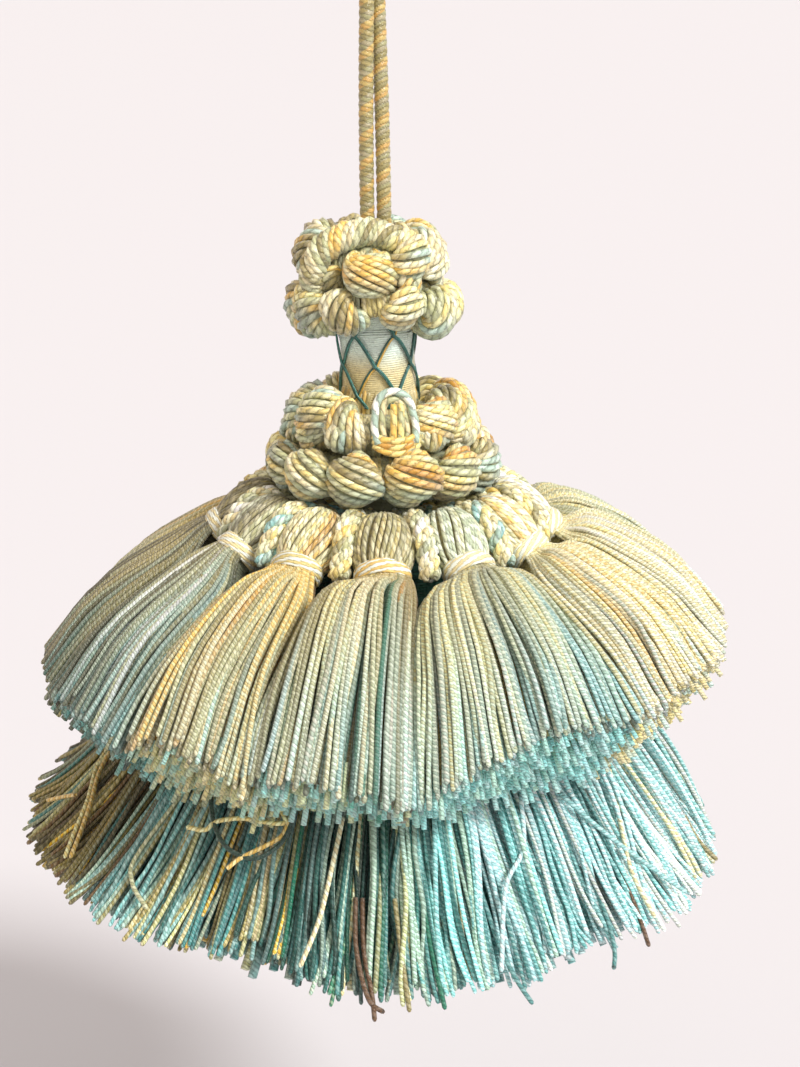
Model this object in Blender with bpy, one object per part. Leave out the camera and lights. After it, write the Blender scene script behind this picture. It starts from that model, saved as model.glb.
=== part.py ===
"""A two-tier thread tassel that hangs by a doubled twisted cord.

The cord runs into a ruff of fat cord loops, below it stands a bound neck under a thread net, then a
second ruff, twelve bound tufts on short ropes, and a flared skirt of cut threads under them.

Lengths in this file are in millimetres and are turned to metres as each mesh is made. Radii run from
the tassel's upright axis, heights from the level of the tufts' bindings, and an azimuth of 0 faces
the front, which is -Y, and grows towards +X.
"""

import math
from typing import NamedTuple

import bpy
from mathutils import Vector
from mathutils.geometry import delaunay_2d_cdt

METRES = 0.001
AXIS_NAME = "tassel_axis"
GAP = 0.4  # between neighbouring locks and loops
LEAN = -0.05  # shift to the right for each unit of height: the neck and ruffs lean left
LEAN_FROM = 8.0

# Hanging cord, doubled into a loop whose top is the origin
CORD_DIAMETER = 1.6
CORD_TOP = 77.0
CORD_LEAN = -1.2  # how far left of the tassel's axis the loop's top stands
CORD_BEVEL_STEPS = 2
CORD_POINTS = 41

# Neck, with a spigot in the top ruff
NECK_RADIUS = 4.45
SPIGOT_RADIUS = 3.6
NECK_BOTTOM = 1.7
NECK_SHOULDER = 26.4
NECK_TOP = 36.4
NECK_SIDES = 24

# Net of thread over the neck
NET_RADIUS = 4.98
NET_THICKNESS = 0.35
NET_STRAND = 0.5
NET_BOTTOM = 18.7
NET_TOP = 25.0
NET_MESHES = 7

# Tufts
TUFT_COUNT = 12
HEAD_POLE = (12.9, 6.0)  # radius and height of a head's upper end
HEAD_SLOPE = math.radians(36.7)  # how far a head's axis points below the horizon
HEAD_SIDES = 8
HEAD_PLATE = 10.2  # from the upper end to the face that the locks leave
HEAD_PLATE_HALF_WIDTH = 3.5
HEAD_PLATE_HALF_HEIGHT = 2.35
LOCK_ROOT_HALF_WIDTH = 2.8
LOCK_ROOT_HALF_HEIGHT = 2.0
LOCK_STEPS = 3
TUFT_ROUNDING = 1.3  # how much lower a tuft's side edges end than its middle
TUFT_SAG_LEFT = 3.2  # how much lower the left tufts hang than the right ones
TUFT_DROP_FRONT = 1.6  # how much longer the front tuft's underside is
TUFT_MARGIN = 0.1  # room beside a tuft's outer locks
LOCK_RAGGED = 0.7  # how far neighbouring locks differ in length

# Bindings
BINDING_AT = 8.85
BINDING_INNER = 2.62
BINDING_OUTER = 3.1
BINDING_LENGTH = 1.0
BINDING_SIDES = 8

# Ropes that hold the tufts
ROPE_RADIUS = 0.9
ROPE_SIDES = 5
ROPE_STEPS = 5
ROPE_TWIST = 1.1  # turn of the section from one step to the next, radians
ROPE_LOBE = 0.14
ROPE_ASIDE = 0.3  # how far a rope's end leans towards its tuft
ROPE_ROUTE = ((6.5, 3.4), (10.0, 3.5), (12.8, 4.3), (15.4, 5.3), (17.5, 4.7), (18.9, 2.9))

# Skirt
SKIRT_TOP = 1.2
SKIRT_FACE = -2.6
SKIRT_TOP_RADIUS = 9.4
SKIRT_FACE_RADIUS = 10.4
SKIRT_SIDES = 24
SKIRT_FLARE_LEFT = 2.2  # how much further the left side reaches than the front
SKIRT_FLARE_RIGHT = -0.8
SKIRT_LIFT_LEFT = 4.5  # how much higher the left side's hem hangs than the front's


class Ruff(NamedTuple):
    """One row of cord loops on a ring, in millimetres."""

    name: str
    loops: int
    turned: float  # share of a loop's spacing by which the first loop stands off the front
    inner: float
    outer: float
    top_inner: float
    top_outer: float
    bottom: float
    hinge: int  # corner of the ring's section that the loops bend round
    reach: float
    half_width: float
    rise: float
    fall: float
    lift: float


RUFFS = (
    Ruff("ruff_top_upper", 9, 0.0, 4.2, 6.3, 36.2, 35.2, 32.3, 1, 3.7, 2.35, 0.34, 0.22, 0.0),
    Ruff("ruff_top_lower", 9, 0.5, 4.2, 7.0, 31.7, 31.5, 28.9, 2, 4.2, 2.45, 0.22, 0.5, 0.2),
    Ruff("ruff_low_upper", 12, 0.2, 5.15, 8.2, 16.1, 14.9, 12.2, 1, 4.1, 2.5, 0.34, 0.2, 1.1),
    Ruff("ruff_low_lower", 12, 0.7, 5.15, 10.7, 11.7, 11.3, 8.9, 2, 4.4, 2.7, 0.2, 0.62, 0.6),
)
LOOP_SIDES = 6
LOOP_STEPS = 6
LOOP_INSIDE = 0.35
LOOP_UNEVEN = 0.05
LOOP_ROOT = 0.84  # share of a ring's face that a loop's root takes
LOOP_ROOT_LIMIT = 2.9


class Station(NamedTuple):
    """A round section of a tuft's head: how far it lies from the upper end, and its radius."""

    along: float
    radius: float


HEAD = (Station(0.8, 1.8), Station(3.0, 2.9), Station(6.2, 2.95), Station(8.2, 2.15), Station(9.5, 2.15))


class Edge(NamedTuple):
    """Where the top and the underside of a tuft run: radius and height of each."""

    top: tuple
    under: tuple
    swung: float  # how far the tuft's sides have come from beside its head to their place at the tips


TUFT_EDGES = (
    Edge((26.8, 1.7), (23.8, -6.0), 0.7),
    Edge((36.0, -4.6), (29.6, -14.2), 0.93),
    Edge((42.6, -14.4), (34.6, -21.8), 1.0),
)
TUFT_BOUNDS = (5, 43, 76, 106, 136, 166, 196, 226, 258, 288, 317, 340)  # right side of each, degrees
TUFT_ROWS = (4, 4, 3)  # locks side by side in the top, middle and bottom row


class Layer(NamedTuple):
    """A ring of the skirt's locks."""

    locks: int
    steps: int


SKIRT_LAYERS = (Layer(40, 4), Layer(30, 3), Layer(24, 3), Layer(16, 3), Layer(8, 3))
SKIRT_OUTSIDE = ((9.6, -2.6), (18.0, -5.0), (32.0, -27.5), (43.6, -39.6))
SKIRT_INSIDE = ((1.0, -2.6), (1.4, -16.0), (3.0, -30.0), (4.0, -43.5))


class Colour(NamedTuple):
    """A material's name, base colour and roughness."""

    name: str
    base: tuple
    roughness: float


CORD_YARN = Colour("cord_yarn", (0.52, 0.43, 0.22, 1.0), 0.6)
RUFF_YARN = Colour("ruff_yarn", (0.62, 0.55, 0.30, 1.0), 0.55)
NECK_FLOSS = Colour("neck_floss", (0.50, 0.55, 0.42, 1.0), 0.5)
NET_THREAD = Colour("net_thread", (0.06, 0.22, 0.18, 1.0), 0.5)
BINDING_THREAD = Colour("binding_thread", (0.80, 0.74, 0.52, 1.0), 0.5)
ROPE_YARN = Colour("rope_yarn", (0.60, 0.46, 0.18, 1.0), 0.55)
SKIRT_THREAD = Colour("skirt_thread", (0.16, 0.40, 0.34, 1.0), 0.6)
TUFT_THREADS = (
    Colour("tuft_olive", (0.42, 0.42, 0.22, 1.0), 0.6),
    Colour("tuft_sage", (0.42, 0.48, 0.38, 1.0), 0.6),
    Colour("tuft_yellow", (0.70, 0.62, 0.32, 1.0), 0.6),
    Colour("tuft_teal", (0.28, 0.46, 0.42, 1.0), 0.6),
)


def outward(azimuth):
    return Vector((math.sin(azimuth), -math.cos(azimuth), 0.0))


def sideways(azimuth):
    return Vector((math.cos(azimuth), math.sin(azimuth), 0.0))


def at(azimuth, radius, height, aside=0.0):
    """A point at an azimuth, radius and height, moved aside along the ring by a length."""
    return outward(azimuth) * radius + sideways(azimuth) * aside + Vector((0.0, 0.0, height))


def leaned(point):
    """The point where the tassel's slight lean puts it."""
    return point + Vector((LEAN * max(0.0, point.z - LEAN_FROM), 0.0, 0.0))


def between(a, b, share):
    return tuple(p + (q - p) * share for p, q in zip(a, b, strict=True))


def eased(share):
    """0 to 1 with a level start and end."""
    share = min(max(share, 0.0), 1.0)
    return share * share * (3.0 - 2.0 * share)


def bezier(points, share):
    """A point on the cubic curve with these four control points."""
    back = 1.0 - share
    weights = (back**3, 3 * back**2 * share, 3 * back * share**2, share**3)
    return tuple(sum(w * p[k] for w, p in zip(weights, points, strict=True)) for k in (0, 1))


def uneven(number, turn):
    """A repeatable value from -1 to 1 for a numbered loop or lock."""
    return math.sin(2.399 * number + turn) * math.cos(1.117 * number + 2.0 * turn)


class Shell:
    """Points and faces of one closed body.

    A ring is a list of point numbers that turns anticlockwise about the way in which the body grows.
    """

    def __init__(self):
        self.points = []
        self.faces = []

    def ring(self, points):
        first = len(self.points)
        self.points.extend(points)
        return list(range(first, len(self.points)))

    def belt(self, behind, ahead):
        for i in range(len(behind)):
            j = (i + 1) % len(behind)
            self.faces.append((behind[i], behind[j], ahead[j], ahead[i]))

    def start(self, ring):
        self.faces.append(tuple(reversed(ring)))

    def end(self, ring):
        self.faces.append(tuple(ring))

    def tube(self, rings):
        """Belts from ring to ring; the first may already be part of the body."""
        for behind, ahead in zip(rings, rings[1:]):
            self.belt(behind, ahead)

    def plate(self, rim, holes, normal):
        """A flat face inside the rim, with an opening for each ring in holes."""
        numbers = list(rim) + [number for hole in holes for number in hole]
        middle = sum((self.points[number] for number in rim), Vector()) / len(rim)
        along = (self.points[rim[1]] - self.points[rim[0]]).normalized()
        across = normal.cross(along).normalized()
        flat = []
        for number in numbers:
            away = self.points[number] - middle
            flat.append(Vector((away.dot(along), away.dot(across))))
        loops = []
        first = 0
        for ring in (rim, *holes):
            loop = list(range(first, first + len(ring)))
            first += len(ring)
            turned = sum(
                flat[a].x * flat[b].y - flat[b].x * flat[a].y
                for a, b in zip(loop, loop[1:] + loop[:1], strict=True)
            )
            loops.append(loop if turned > 0 else loop[::-1])
        _, _, faces, sources, _, owners = delaunay_2d_cdt(flat, [], loops, 1, 1e-5, True)
        for face, owner in zip(faces, owners, strict=True):
            if list(owner) == [0]:
                self.faces.append(tuple(numbers[sources[corner][0]] for corner in face))

    def make(self, name, colour):
        """Makes the object from these points and faces."""
        mesh = bpy.data.meshes.new(name)
        mesh.from_pydata([tuple(leaned(p) * METRES) for p in self.points], [], self.faces)
        mesh.validate()
        mesh.shade_smooth()
        mesh.set_sharp_from_angle(angle=math.radians(48.0))
        dress(name, mesh, colour)


def make_axis():
    """The empty that carries every piece and puts the loop's top at the origin."""
    axis = bpy.data.objects.new(AXIS_NAME, None)
    axis.location = Vector((-CORD_LEAN, 0.0, -CORD_TOP)) * METRES
    bpy.context.scene.collection.objects.link(axis)


def dress(name, data, colour):
    """Puts an object with this data on the axis, with a Principled material of its own."""
    material = bpy.data.materials.new(name + "_" + colour.name)
    material.use_nodes = True
    shader = material.node_tree.nodes["Principled BSDF"]
    shader.inputs["Base Color"].default_value = colour.base
    shader.inputs["Roughness"].default_value = colour.roughness
    data.materials.append(material)
    piece = bpy.data.objects.new(name, data)
    piece.parent = bpy.data.objects[AXIS_NAME]
    bpy.context.scene.collection.objects.link(piece)


def make_neck():
    """A turned neck bound with floss: a spigot, a shoulder and a straight barrel."""
    profile = (
        (4.7, NECK_BOTTOM),
        (NECK_RADIUS, NECK_BOTTOM + 0.6),
        (NECK_RADIUS, NECK_SHOULDER - 0.9),
        (NECK_RADIUS - 0.5, NECK_SHOULDER),
        (SPIGOT_RADIUS, NECK_SHOULDER + 0.1),
        (SPIGOT_RADIUS, NECK_TOP - 0.3),
        (SPIGOT_RADIUS - 0.3, NECK_TOP),
    )
    shell = Shell()
    rings = []
    for radius, height in profile:
        turns = [math.tau * i / NECK_SIDES for i in range(NECK_SIDES)]
        rings.append(shell.ring([at(turn, radius, height) for turn in turns]))
    shell.start(rings[0])
    shell.tube(rings)
    shell.end(rings[-1])
    shell.make("neck", NECK_FLOSS)


def make_net():
    """A sleeve of thread over the neck with four-sided openings between its strands."""
    step = math.tau / NET_MESHES
    rise = (NET_TOP - NET_BOTTOM) / 2
    rows = []
    shell = Shell()
    for radius in (NET_RADIUS, NET_RADIUS + NET_THICKNESS):
        knots = []
        for row, count in enumerate((2 * NET_MESHES, NET_MESHES, 2 * NET_MESHES)):
            turns = [(i * NET_MESHES / count + 0.5 * (row % 2)) * step for i in range(count)]
            knots.append(shell.ring([at(turn, radius, NET_BOTTOM + row * rise) for turn in turns]))
        rows.append(knots)
    for i in range(NET_MESHES):
        j = (i + 1) % NET_MESHES
        openings = (
            ((0, 2 * i), (0, 2 * i + 1), (0, 2 * j), (1, i)),
            ((0, 2 * j), (1, j), (2, 2 * j), (1, i)),
            ((2, 2 * j), (2, 2 * i + 1), (2, 2 * i), (1, i)),
        )
        for opening in openings:
            net_opening(shell, rows, opening)
        for a, b in ((2 * i, 2 * i + 1), (2 * i + 1, 2 * j)):
            shell.faces.append((rows[0][0][b], rows[1][0][b], rows[1][0][a], rows[0][0][a]))
            shell.faces.append((rows[0][2][a], rows[1][2][a], rows[1][2][b], rows[0][2][b]))
    shell.make("neck_net", NET_THREAD)


def net_opening(shell, rows, opening):
    """The strands' halves round one opening: inner face, outer face and the edge of the opening."""
    hems = []
    for knots, radius in zip(rows, (NET_RADIUS, NET_RADIUS + NET_THICKNESS), strict=True):
        corners = [shell.points[knots[row][i]] for row, i in opening]
        middle = sum(corners, Vector()) / len(corners)
        flat = math.hypot(middle.x, middle.y)
        middle = Vector((middle.x * radius / flat, middle.y * radius / flat, middle.z))
        hem = []
        for corner in corners:
            share = NET_STRAND / (middle - corner).length
            point = corner + (middle - corner) * share
            flat = math.hypot(point.x, point.y)
            hem.append(Vector((point.x * radius / flat, point.y * radius / flat, point.z)))
        hems.append(shell.ring(hem))
    count = len(opening)
    for a in range(count):
        b = (a + 1) % count
        inner = [rows[0][opening[k][0]][opening[k][1]] for k in (a, b)]
        outer = [rows[1][opening[k][0]][opening[k][1]] for k in (a, b)]
        shell.faces.append((outer[0], outer[1], hems[1][b], hems[1][a]))
        shell.faces.append((inner[1], inner[0], hems[0][a], hems[0][b]))
        shell.faces.append((hems[1][a], hems[1][b], hems[0][b], hems[0][a]))


def loop_rings(shell, ruff, number, azimuth, hinge, before, after):
    """The sections of one cord loop: ellipses that turn about the hinge from one face to the next."""
    first = math.atan2(before[1] - hinge[1], before[0] - hinge[0])
    last = math.atan2(after[1] - hinge[1], after[0] - hinge[0])
    last -= math.tau if last > 0 else 0.0
    roots = [LOOP_ROOT * min(math.dist(hinge, corner), LOOP_ROOT_LIMIT) for corner in (before, after)]
    reach = ruff.reach * (1.0 + LOOP_UNEVEN * uneven(number, ruff.reach))
    rings = []
    for step in range(LOOP_STEPS + 1):
        share = step / LOOP_STEPS
        full = eased(share / ruff.rise) * eased((1.0 - share) / ruff.fall)
        angle = first + (last - first) * share
        far = roots[0] + (roots[1] - roots[0]) * share
        far += (reach - far) * full
        middle = 0.5 * (far + LOOP_INSIDE)
        radius = hinge[0] + middle * math.cos(angle)
        height = hinge[1] + middle * math.sin(angle)
        height += ruff.lift * 0.5 * (1.0 + math.cos(azimuth)) * full
        room = math.pi / ruff.loops * min(radius, hinge[0] + 2.6) - 0.5 * GAP
        half_width = min(1.15 + (ruff.half_width - 1.15) * full, room)
        away = outward(azimuth) * math.cos(angle) + Vector((0.0, 0.0, math.sin(angle)))
        points = []
        for side in range(LOOP_SIDES):
            turn = math.tau * side / LOOP_SIDES
            point = at(azimuth, radius, height) + away * (0.5 * (far - LOOP_INSIDE) * math.cos(turn))
            points.append(point - sideways(azimuth) * (half_width * math.sin(turn)))
        rings.append(shell.ring(points))
    return rings


def make_ruff(ruff):
    """A ring with flat faces, and on each of its sides one loop of cord that leaves and enters it."""
    corners = (
        (ruff.inner, ruff.top_inner),
        (ruff.outer, ruff.top_outer),
        (ruff.outer, ruff.bottom),
        (ruff.inner, ruff.bottom),
    )
    step = math.tau / ruff.loops
    flatter = math.cos(0.5 * step)
    shell = Shell()
    rows = []
    for radius, height in corners:
        turns = [(i + ruff.turned - 0.5) * step for i in range(ruff.loops)]
        rows.append(shell.ring([at(turn, radius, height) for turn in turns]))
    middles = [(radius * flatter, height) for radius, height in corners]
    before, hinge, after = middles[ruff.hinge - 1 : ruff.hinge + 2]
    for i in range(ruff.loops):
        j = (i + 1) % ruff.loops
        azimuth = (i + ruff.turned) * step
        rings = loop_rings(shell, ruff, i, azimuth, hinge, before, after)
        shell.tube(rings)
        for k in range(4):
            follow = (k + 1) % 4
            rim = [rows[k][i], rows[follow][i], rows[follow][j], rows[k][j]]
            sides = ((ruff.hinge - 1, rings[0]), (ruff.hinge, rings[-1]))
            holes = [ring for face, ring in sides if face == k]
            if holes:
                a, b, c = (shell.points[number] for number in rim[:3])
                shell.plate(rim, holes, (b - a).cross(c - b).normalized())
            else:
                shell.faces.append(tuple(rim))
    shell.make(ruff.name, RUFF_YARN)


def head_axis(azimuth):
    """The upper end of a tuft's head, the way it points and the way that is up across it."""
    ahead = outward(azimuth) * math.cos(HEAD_SLOPE) - Vector((0.0, 0.0, math.sin(HEAD_SLOPE)))
    upward = outward(azimuth) * math.sin(HEAD_SLOPE) + Vector((0.0, 0.0, math.cos(HEAD_SLOPE)))
    return at(azimuth, *HEAD_POLE), ahead, upward


def tuft_edge(step):
    """Radius and height of a tuft's top and underside at a step along its locks, and its spread."""
    if step > 0:
        return TUFT_EDGES[step - 1]
    radius = HEAD_POLE[0] + HEAD_PLATE * math.cos(HEAD_SLOPE)
    height = HEAD_POLE[1] - HEAD_PLATE * math.sin(HEAD_SLOPE)
    up = (LOCK_ROOT_HALF_HEIGHT * math.sin(HEAD_SLOPE), LOCK_ROOT_HALF_HEIGHT * math.cos(HEAD_SLOPE))
    return Edge((radius + up[0], height + up[1]), (radius - up[0], height - up[1]), 0.0)


def tuft_side(number, side, swung):
    """The azimuth of a tuft's left or right side: halfway to the next head, or its bound at the tips."""
    right = number if side > 0 else number - 1
    even = math.tau * (right + 0.5) / TUFT_COUNT
    bound = math.radians(TUFT_BOUNDS[right % TUFT_COUNT])
    if right < 0:
        bound -= math.tau
    return even + (bound - even) * swung


def lock_corner(number, step, aside, down, ragged):
    """A corner of a tuft's lock.

    aside runs from -1 to 1 over the tuft's width and down from 0 to 1 through its depth. Each carries
    the side, -1 or 1, to which the corner draws in to leave a gap.
    """
    edge = tuft_edge(step)
    depth = math.dist(edge.top, edge.under)
    share = down[0] + down[1] * 0.5 * GAP / depth
    radius, height = between(edge.top, edge.under, share)
    if step == LOCK_STEPS:
        radius += ragged * 0.6
        height -= ragged * 0.8
    azimuth = math.tau * number / TUFT_COUNT
    drawn = aside[1] * 0.5 * GAP
    if step == 0:
        return at(azimuth, radius, height, aside[0] * LOCK_ROOT_HALF_WIDTH + drawn)
    grown = step / LOCK_STEPS
    height -= TUFT_ROUNDING * aside[0] ** 2 * grown
    height -= TUFT_SAG_LEFT * max(0.0, -math.sin(azimuth)) * min(1.0, 2.4 * grown)
    height -= TUFT_DROP_FRONT * max(0.0, math.cos(azimuth)) ** 3 * grown * share
    left = tuft_side(number, -1, edge.swung)
    right = tuft_side(number, 1, edge.swung)
    turn = left + (right - left) * 0.5 * (aside[0] + 1.0)
    return at(turn, radius, height, drawn - aside[0] * TUFT_MARGIN)


def make_tuft(number):
    """A head of folded thread, narrowed where it is bound, and the locks that fan out of its end."""
    azimuth = math.tau * number / TUFT_COUNT
    pole, ahead, upward = head_axis(azimuth)
    aside = sideways(azimuth)
    shell = Shell()
    tip = shell.ring([pole])[0]
    turns = [math.tau * (side + 0.5) / HEAD_SIDES for side in range(HEAD_SIDES)]
    rings = []
    for station in HEAD:
        middle = pole + ahead * station.along
        offsets = [aside * math.cos(turn) + upward * math.sin(turn) for turn in turns]
        rings.append(shell.ring([middle + offset * station.radius for offset in offsets]))
    middle = pole + ahead * HEAD_PLATE
    rim = []
    for turn in turns:
        steep = abs(math.sin(turn)) > 0.7
        wide = HEAD_PLATE_HALF_WIDTH - 1.0 if steep else HEAD_PLATE_HALF_WIDTH
        high = HEAD_PLATE_HALF_HEIGHT if steep else 0.5 * HEAD_PLATE_HALF_HEIGHT
        point = middle + aside * math.copysign(wide, math.cos(turn))
        rim.append(point + upward * math.copysign(high, math.sin(turn)))
    rings.append(shell.ring(rim))
    for i in range(HEAD_SIDES):
        shell.faces.append((tip, rings[0][(i + 1) % HEAD_SIDES], rings[0][i]))
    shell.tube(rings)
    roots = []
    for row, locks in enumerate(TUFT_ROWS):
        top = (row / len(TUFT_ROWS), 1)
        low = ((row + 1) / len(TUFT_ROWS), -1)
        for lock in range(locks):
            left = (2.0 * lock / locks - 1.0, 1)
            right = (2.0 * (lock + 1) / locks - 1.0, -1)
            ragged = LOCK_RAGGED * uneven(11 * number + 4 * row + lock, 0.4)
            sections = []
            for step in range(LOCK_STEPS + 1):
                corners = ((right, low), (right, top), (left, top), (left, low))
                points = [lock_corner(number, step, a, d, ragged) for a, d in corners]
                sections.append(shell.ring(points))
            shell.tube(sections)
            shell.end(sections[-1])
            roots.append(sections[0])
    shell.plate(rings[-1], roots, ahead)
    shell.make(f"tuft_{number:02d}", TUFT_THREADS[number % len(TUFT_THREADS)])


def make_binding(number):
    """A band of fine thread wound round a tuft's waist."""
    azimuth = math.tau * number / TUFT_COUNT
    pole, ahead, upward = head_axis(azimuth)
    aside = sideways(azimuth)
    section = (
        (-0.5 * BINDING_LENGTH, BINDING_INNER),
        (0.5 * BINDING_LENGTH, BINDING_INNER),
        (0.35 * BINDING_LENGTH, BINDING_OUTER),
        (-0.35 * BINDING_LENGTH, BINDING_OUTER),
    )
    shell = Shell()
    rings = []
    for side in range(BINDING_SIDES):
        turn = math.tau * (side + 0.5) / BINDING_SIDES
        away = aside * math.cos(turn) + upward * math.sin(turn)
        points = [pole + ahead * (BINDING_AT + along) + away * radius for along, radius in section]
        rings.append(shell.ring(points))
    shell.tube(rings + rings[:1])
    shell.make(f"binding_{number:02d}", BINDING_THREAD)


def make_rope(number):
    """A short twisted rope from under the second ruff to the left of a tuft's binding."""
    azimuth = math.tau * (number - 0.5) / TUFT_COUNT
    route = [Vector(knot) for knot in ROPE_ROUTE]
    shell = Shell()
    rings = []
    for step in range(ROPE_STEPS + 1):
        share = step / ROPE_STEPS
        radius, height = smooth(route, share)
        ahead = smooth(route, min(share + 0.02, 1.0))
        behind = smooth(route, max(share - 0.02, 0.0))
        slope = math.atan2(behind[1] - ahead[1], ahead[0] - behind[0])
        upward = outward(azimuth) * math.sin(slope) + Vector((0.0, 0.0, math.cos(slope)))
        middle = at(azimuth, radius, height, ROPE_ASIDE * eased(share))
        points = []
        for side in range(ROPE_SIDES):
            turn = math.tau * side / ROPE_SIDES
            thick = ROPE_RADIUS * (1.0 + ROPE_LOBE * math.cos(2.0 * turn - ROPE_TWIST * step))
            point = middle + sideways(azimuth) * (thick * math.cos(turn))
            points.append(point + upward * (thick * math.sin(turn)))
        rings.append(shell.ring(points))
    shell.start(rings[0])
    shell.tube(rings)
    shell.end(rings[-1])
    shell.make(f"rope_{number:02d}", ROPE_YARN)


def skirt_corner(share, fraction, drawn, azimuth, aside):
    """A corner of one of the skirt's locks.

    fraction runs from the outside of the skirt to its middle, share from a lock's root to its tip.
    """
    curve = [between(a, b, fraction) for a, b in zip(SKIRT_OUTSIDE, SKIRT_INSIDE, strict=True)]
    radius, height = bezier(curve, share)
    radius += drawn * 0.5 * GAP
    left = -math.sin(azimuth) * share**4 * (1.0 - fraction)
    radius += (SKIRT_FLARE_LEFT if left > 0 else -SKIRT_FLARE_RIGHT) * left
    height += SKIRT_LIFT_LEFT * max(left, 0.0)
    return at(azimuth, radius, height, aside)


def make_skirt():
    """A round backing with rings of locks that leave its underside and flare to the hem."""
    shell = Shell()
    turns = [-math.tau * i / SKIRT_SIDES for i in range(SKIRT_SIDES)]
    top = shell.ring([at(turn, SKIRT_TOP_RADIUS, SKIRT_TOP) for turn in turns])
    face = shell.ring([at(turn, SKIRT_FACE_RADIUS, SKIRT_FACE) for turn in turns])
    shell.start(top)
    shell.belt(top, face)
    roots = []
    for row, layer in enumerate(SKIRT_LAYERS):
        outside = row / len(SKIRT_LAYERS)
        inside = (row + 1) / len(SKIRT_LAYERS)
        half = math.pi / layer.locks
        for lock in range(layer.locks):
            azimuth = math.tau * (lock + 0.5 * (row % 2)) / layer.locks
            sections = []
            for step in range(layer.steps + 1):
                share = step / layer.steps
                if step == layer.steps:
                    share += 0.018 * uneven(37 * row + lock, 1.3)
                corners = []
                ends = ((1, inside, 1), (1, outside, -1), (-1, outside, -1), (-1, inside, 1))
                for side, fraction, drawn in ends:
                    turn = azimuth + side * half
                    corners.append(skirt_corner(share, fraction, drawn, turn, -side * 0.5 * GAP))
                sections.append(shell.ring(corners))
            shell.tube(sections)
            shell.end(sections[-1])
            roots.append(sections[0])
    shell.plate(face, roots, Vector((0.0, 0.0, -1.0)))
    shell.make("skirt", SKIRT_THREAD)


class Bend(NamedTuple):
    """A level of the hanging cord: half the distance between its legs, their turn and their lean."""

    height: float
    half: float
    turn: float
    lean: float


CORD_ROUTE = (
    Bend(36.9, 1.0, 0.0, -0.85),
    Bend(42.0, 1.0, 5.0, -0.92),
    Bend(50.0, 1.0, 20.0, -1.02),
    Bend(58.0, 1.0, 38.0, -1.12),
    Bend(64.0, 1.0, 50.0, -1.18),
    Bend(69.0, 1.15, 58.0, -1.2),
    Bend(72.4, 1.8, 62.0, -1.2),
    Bend(74.4, 1.95, 62.0, -1.2),
    Bend(75.8, 1.2, 62.0, -1.2),
    Bend(76.2, 0.0, 62.0, -1.2),
)


def cord_knots():
    """The route's own points: up one leg, over the top and down the other."""
    knots = []
    for side in (-1, 1):
        leg = []
        for bend in CORD_ROUTE:
            turn = math.radians(bend.turn)
            across = Vector((math.cos(turn), math.sin(turn), 0.0)) * (side * bend.half)
            leg.append(Vector((bend.lean, 0.0, bend.height)) + across)
        knots.extend(leg if side < 0 else leg[-2::-1])
    return knots


def smooth(knots, share):
    """A point on the smooth curve through the knots."""
    place = share * (len(knots) - 1)
    first = min(int(place), len(knots) - 2)
    t = place - first
    a, b, c, d = (knots[min(max(first + k, 0), len(knots) - 1)] for k in (-1, 0, 1, 2))
    squared = 2.0 * a - 5.0 * b + 4.0 * c - d
    cubed = 3.0 * b - a - 3.0 * c + d
    return 0.5 * (2.0 * b + (c - a) * t + squared * t**2 + cubed * t**3)


def make_hanging_cord():
    """One twisted cord, doubled: two legs side by side that slowly turn round each other to a loop."""
    knots = cord_knots()
    fine = [smooth(knots, i / 800) for i in range(801)]
    runs = [0.0]
    for a, b in zip(fine, fine[1:]):
        runs.append(runs[-1] + (b - a).length)
    data = bpy.data.curves.new("hanging_cord", "CURVE")
    data.dimensions = "3D"
    data.bevel_depth = 0.5 * CORD_DIAMETER * METRES
    data.bevel_resolution = CORD_BEVEL_STEPS
    data.use_fill_caps = True
    spline = data.splines.new("POLY")
    spline.points.add(CORD_POINTS - 1)
    for i, point in enumerate(spline.points):
        wanted = runs[-1] * i / (CORD_POINTS - 1)
        nearest = min(range(len(fine)), key=lambda k: abs(runs[k] - wanted))
        point.co = (*(fine[nearest] * METRES), 1.0)
    spline.use_smooth = True
    dress("hanging_cord", data, CORD_YARN)


def main():
    for old in list(bpy.data.objects):
        bpy.data.objects.remove(old)
    make_axis()
    make_hanging_cord()
    make_neck()
    make_net()
    for ruff in RUFFS:
        make_ruff(ruff)
    for number in range(TUFT_COUNT):
        make_tuft(number)
        make_binding(number)
        make_rope(number)
    make_skirt()


main()
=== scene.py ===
"""Dresses a packed tassel in yarn: a doubled twisted cord, two ruffs of cord loops, a bound neck under
a thread net, twelve bound tufts on short ropes, and a flared skirt of cut threads.

Shapes are worked out in millimetres about the tassel's upright axis: radius from the axis, height from
the level of the tufts' bindings, and an azimuth of 0 at the front, which grows to the right.
"""

import math

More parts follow.
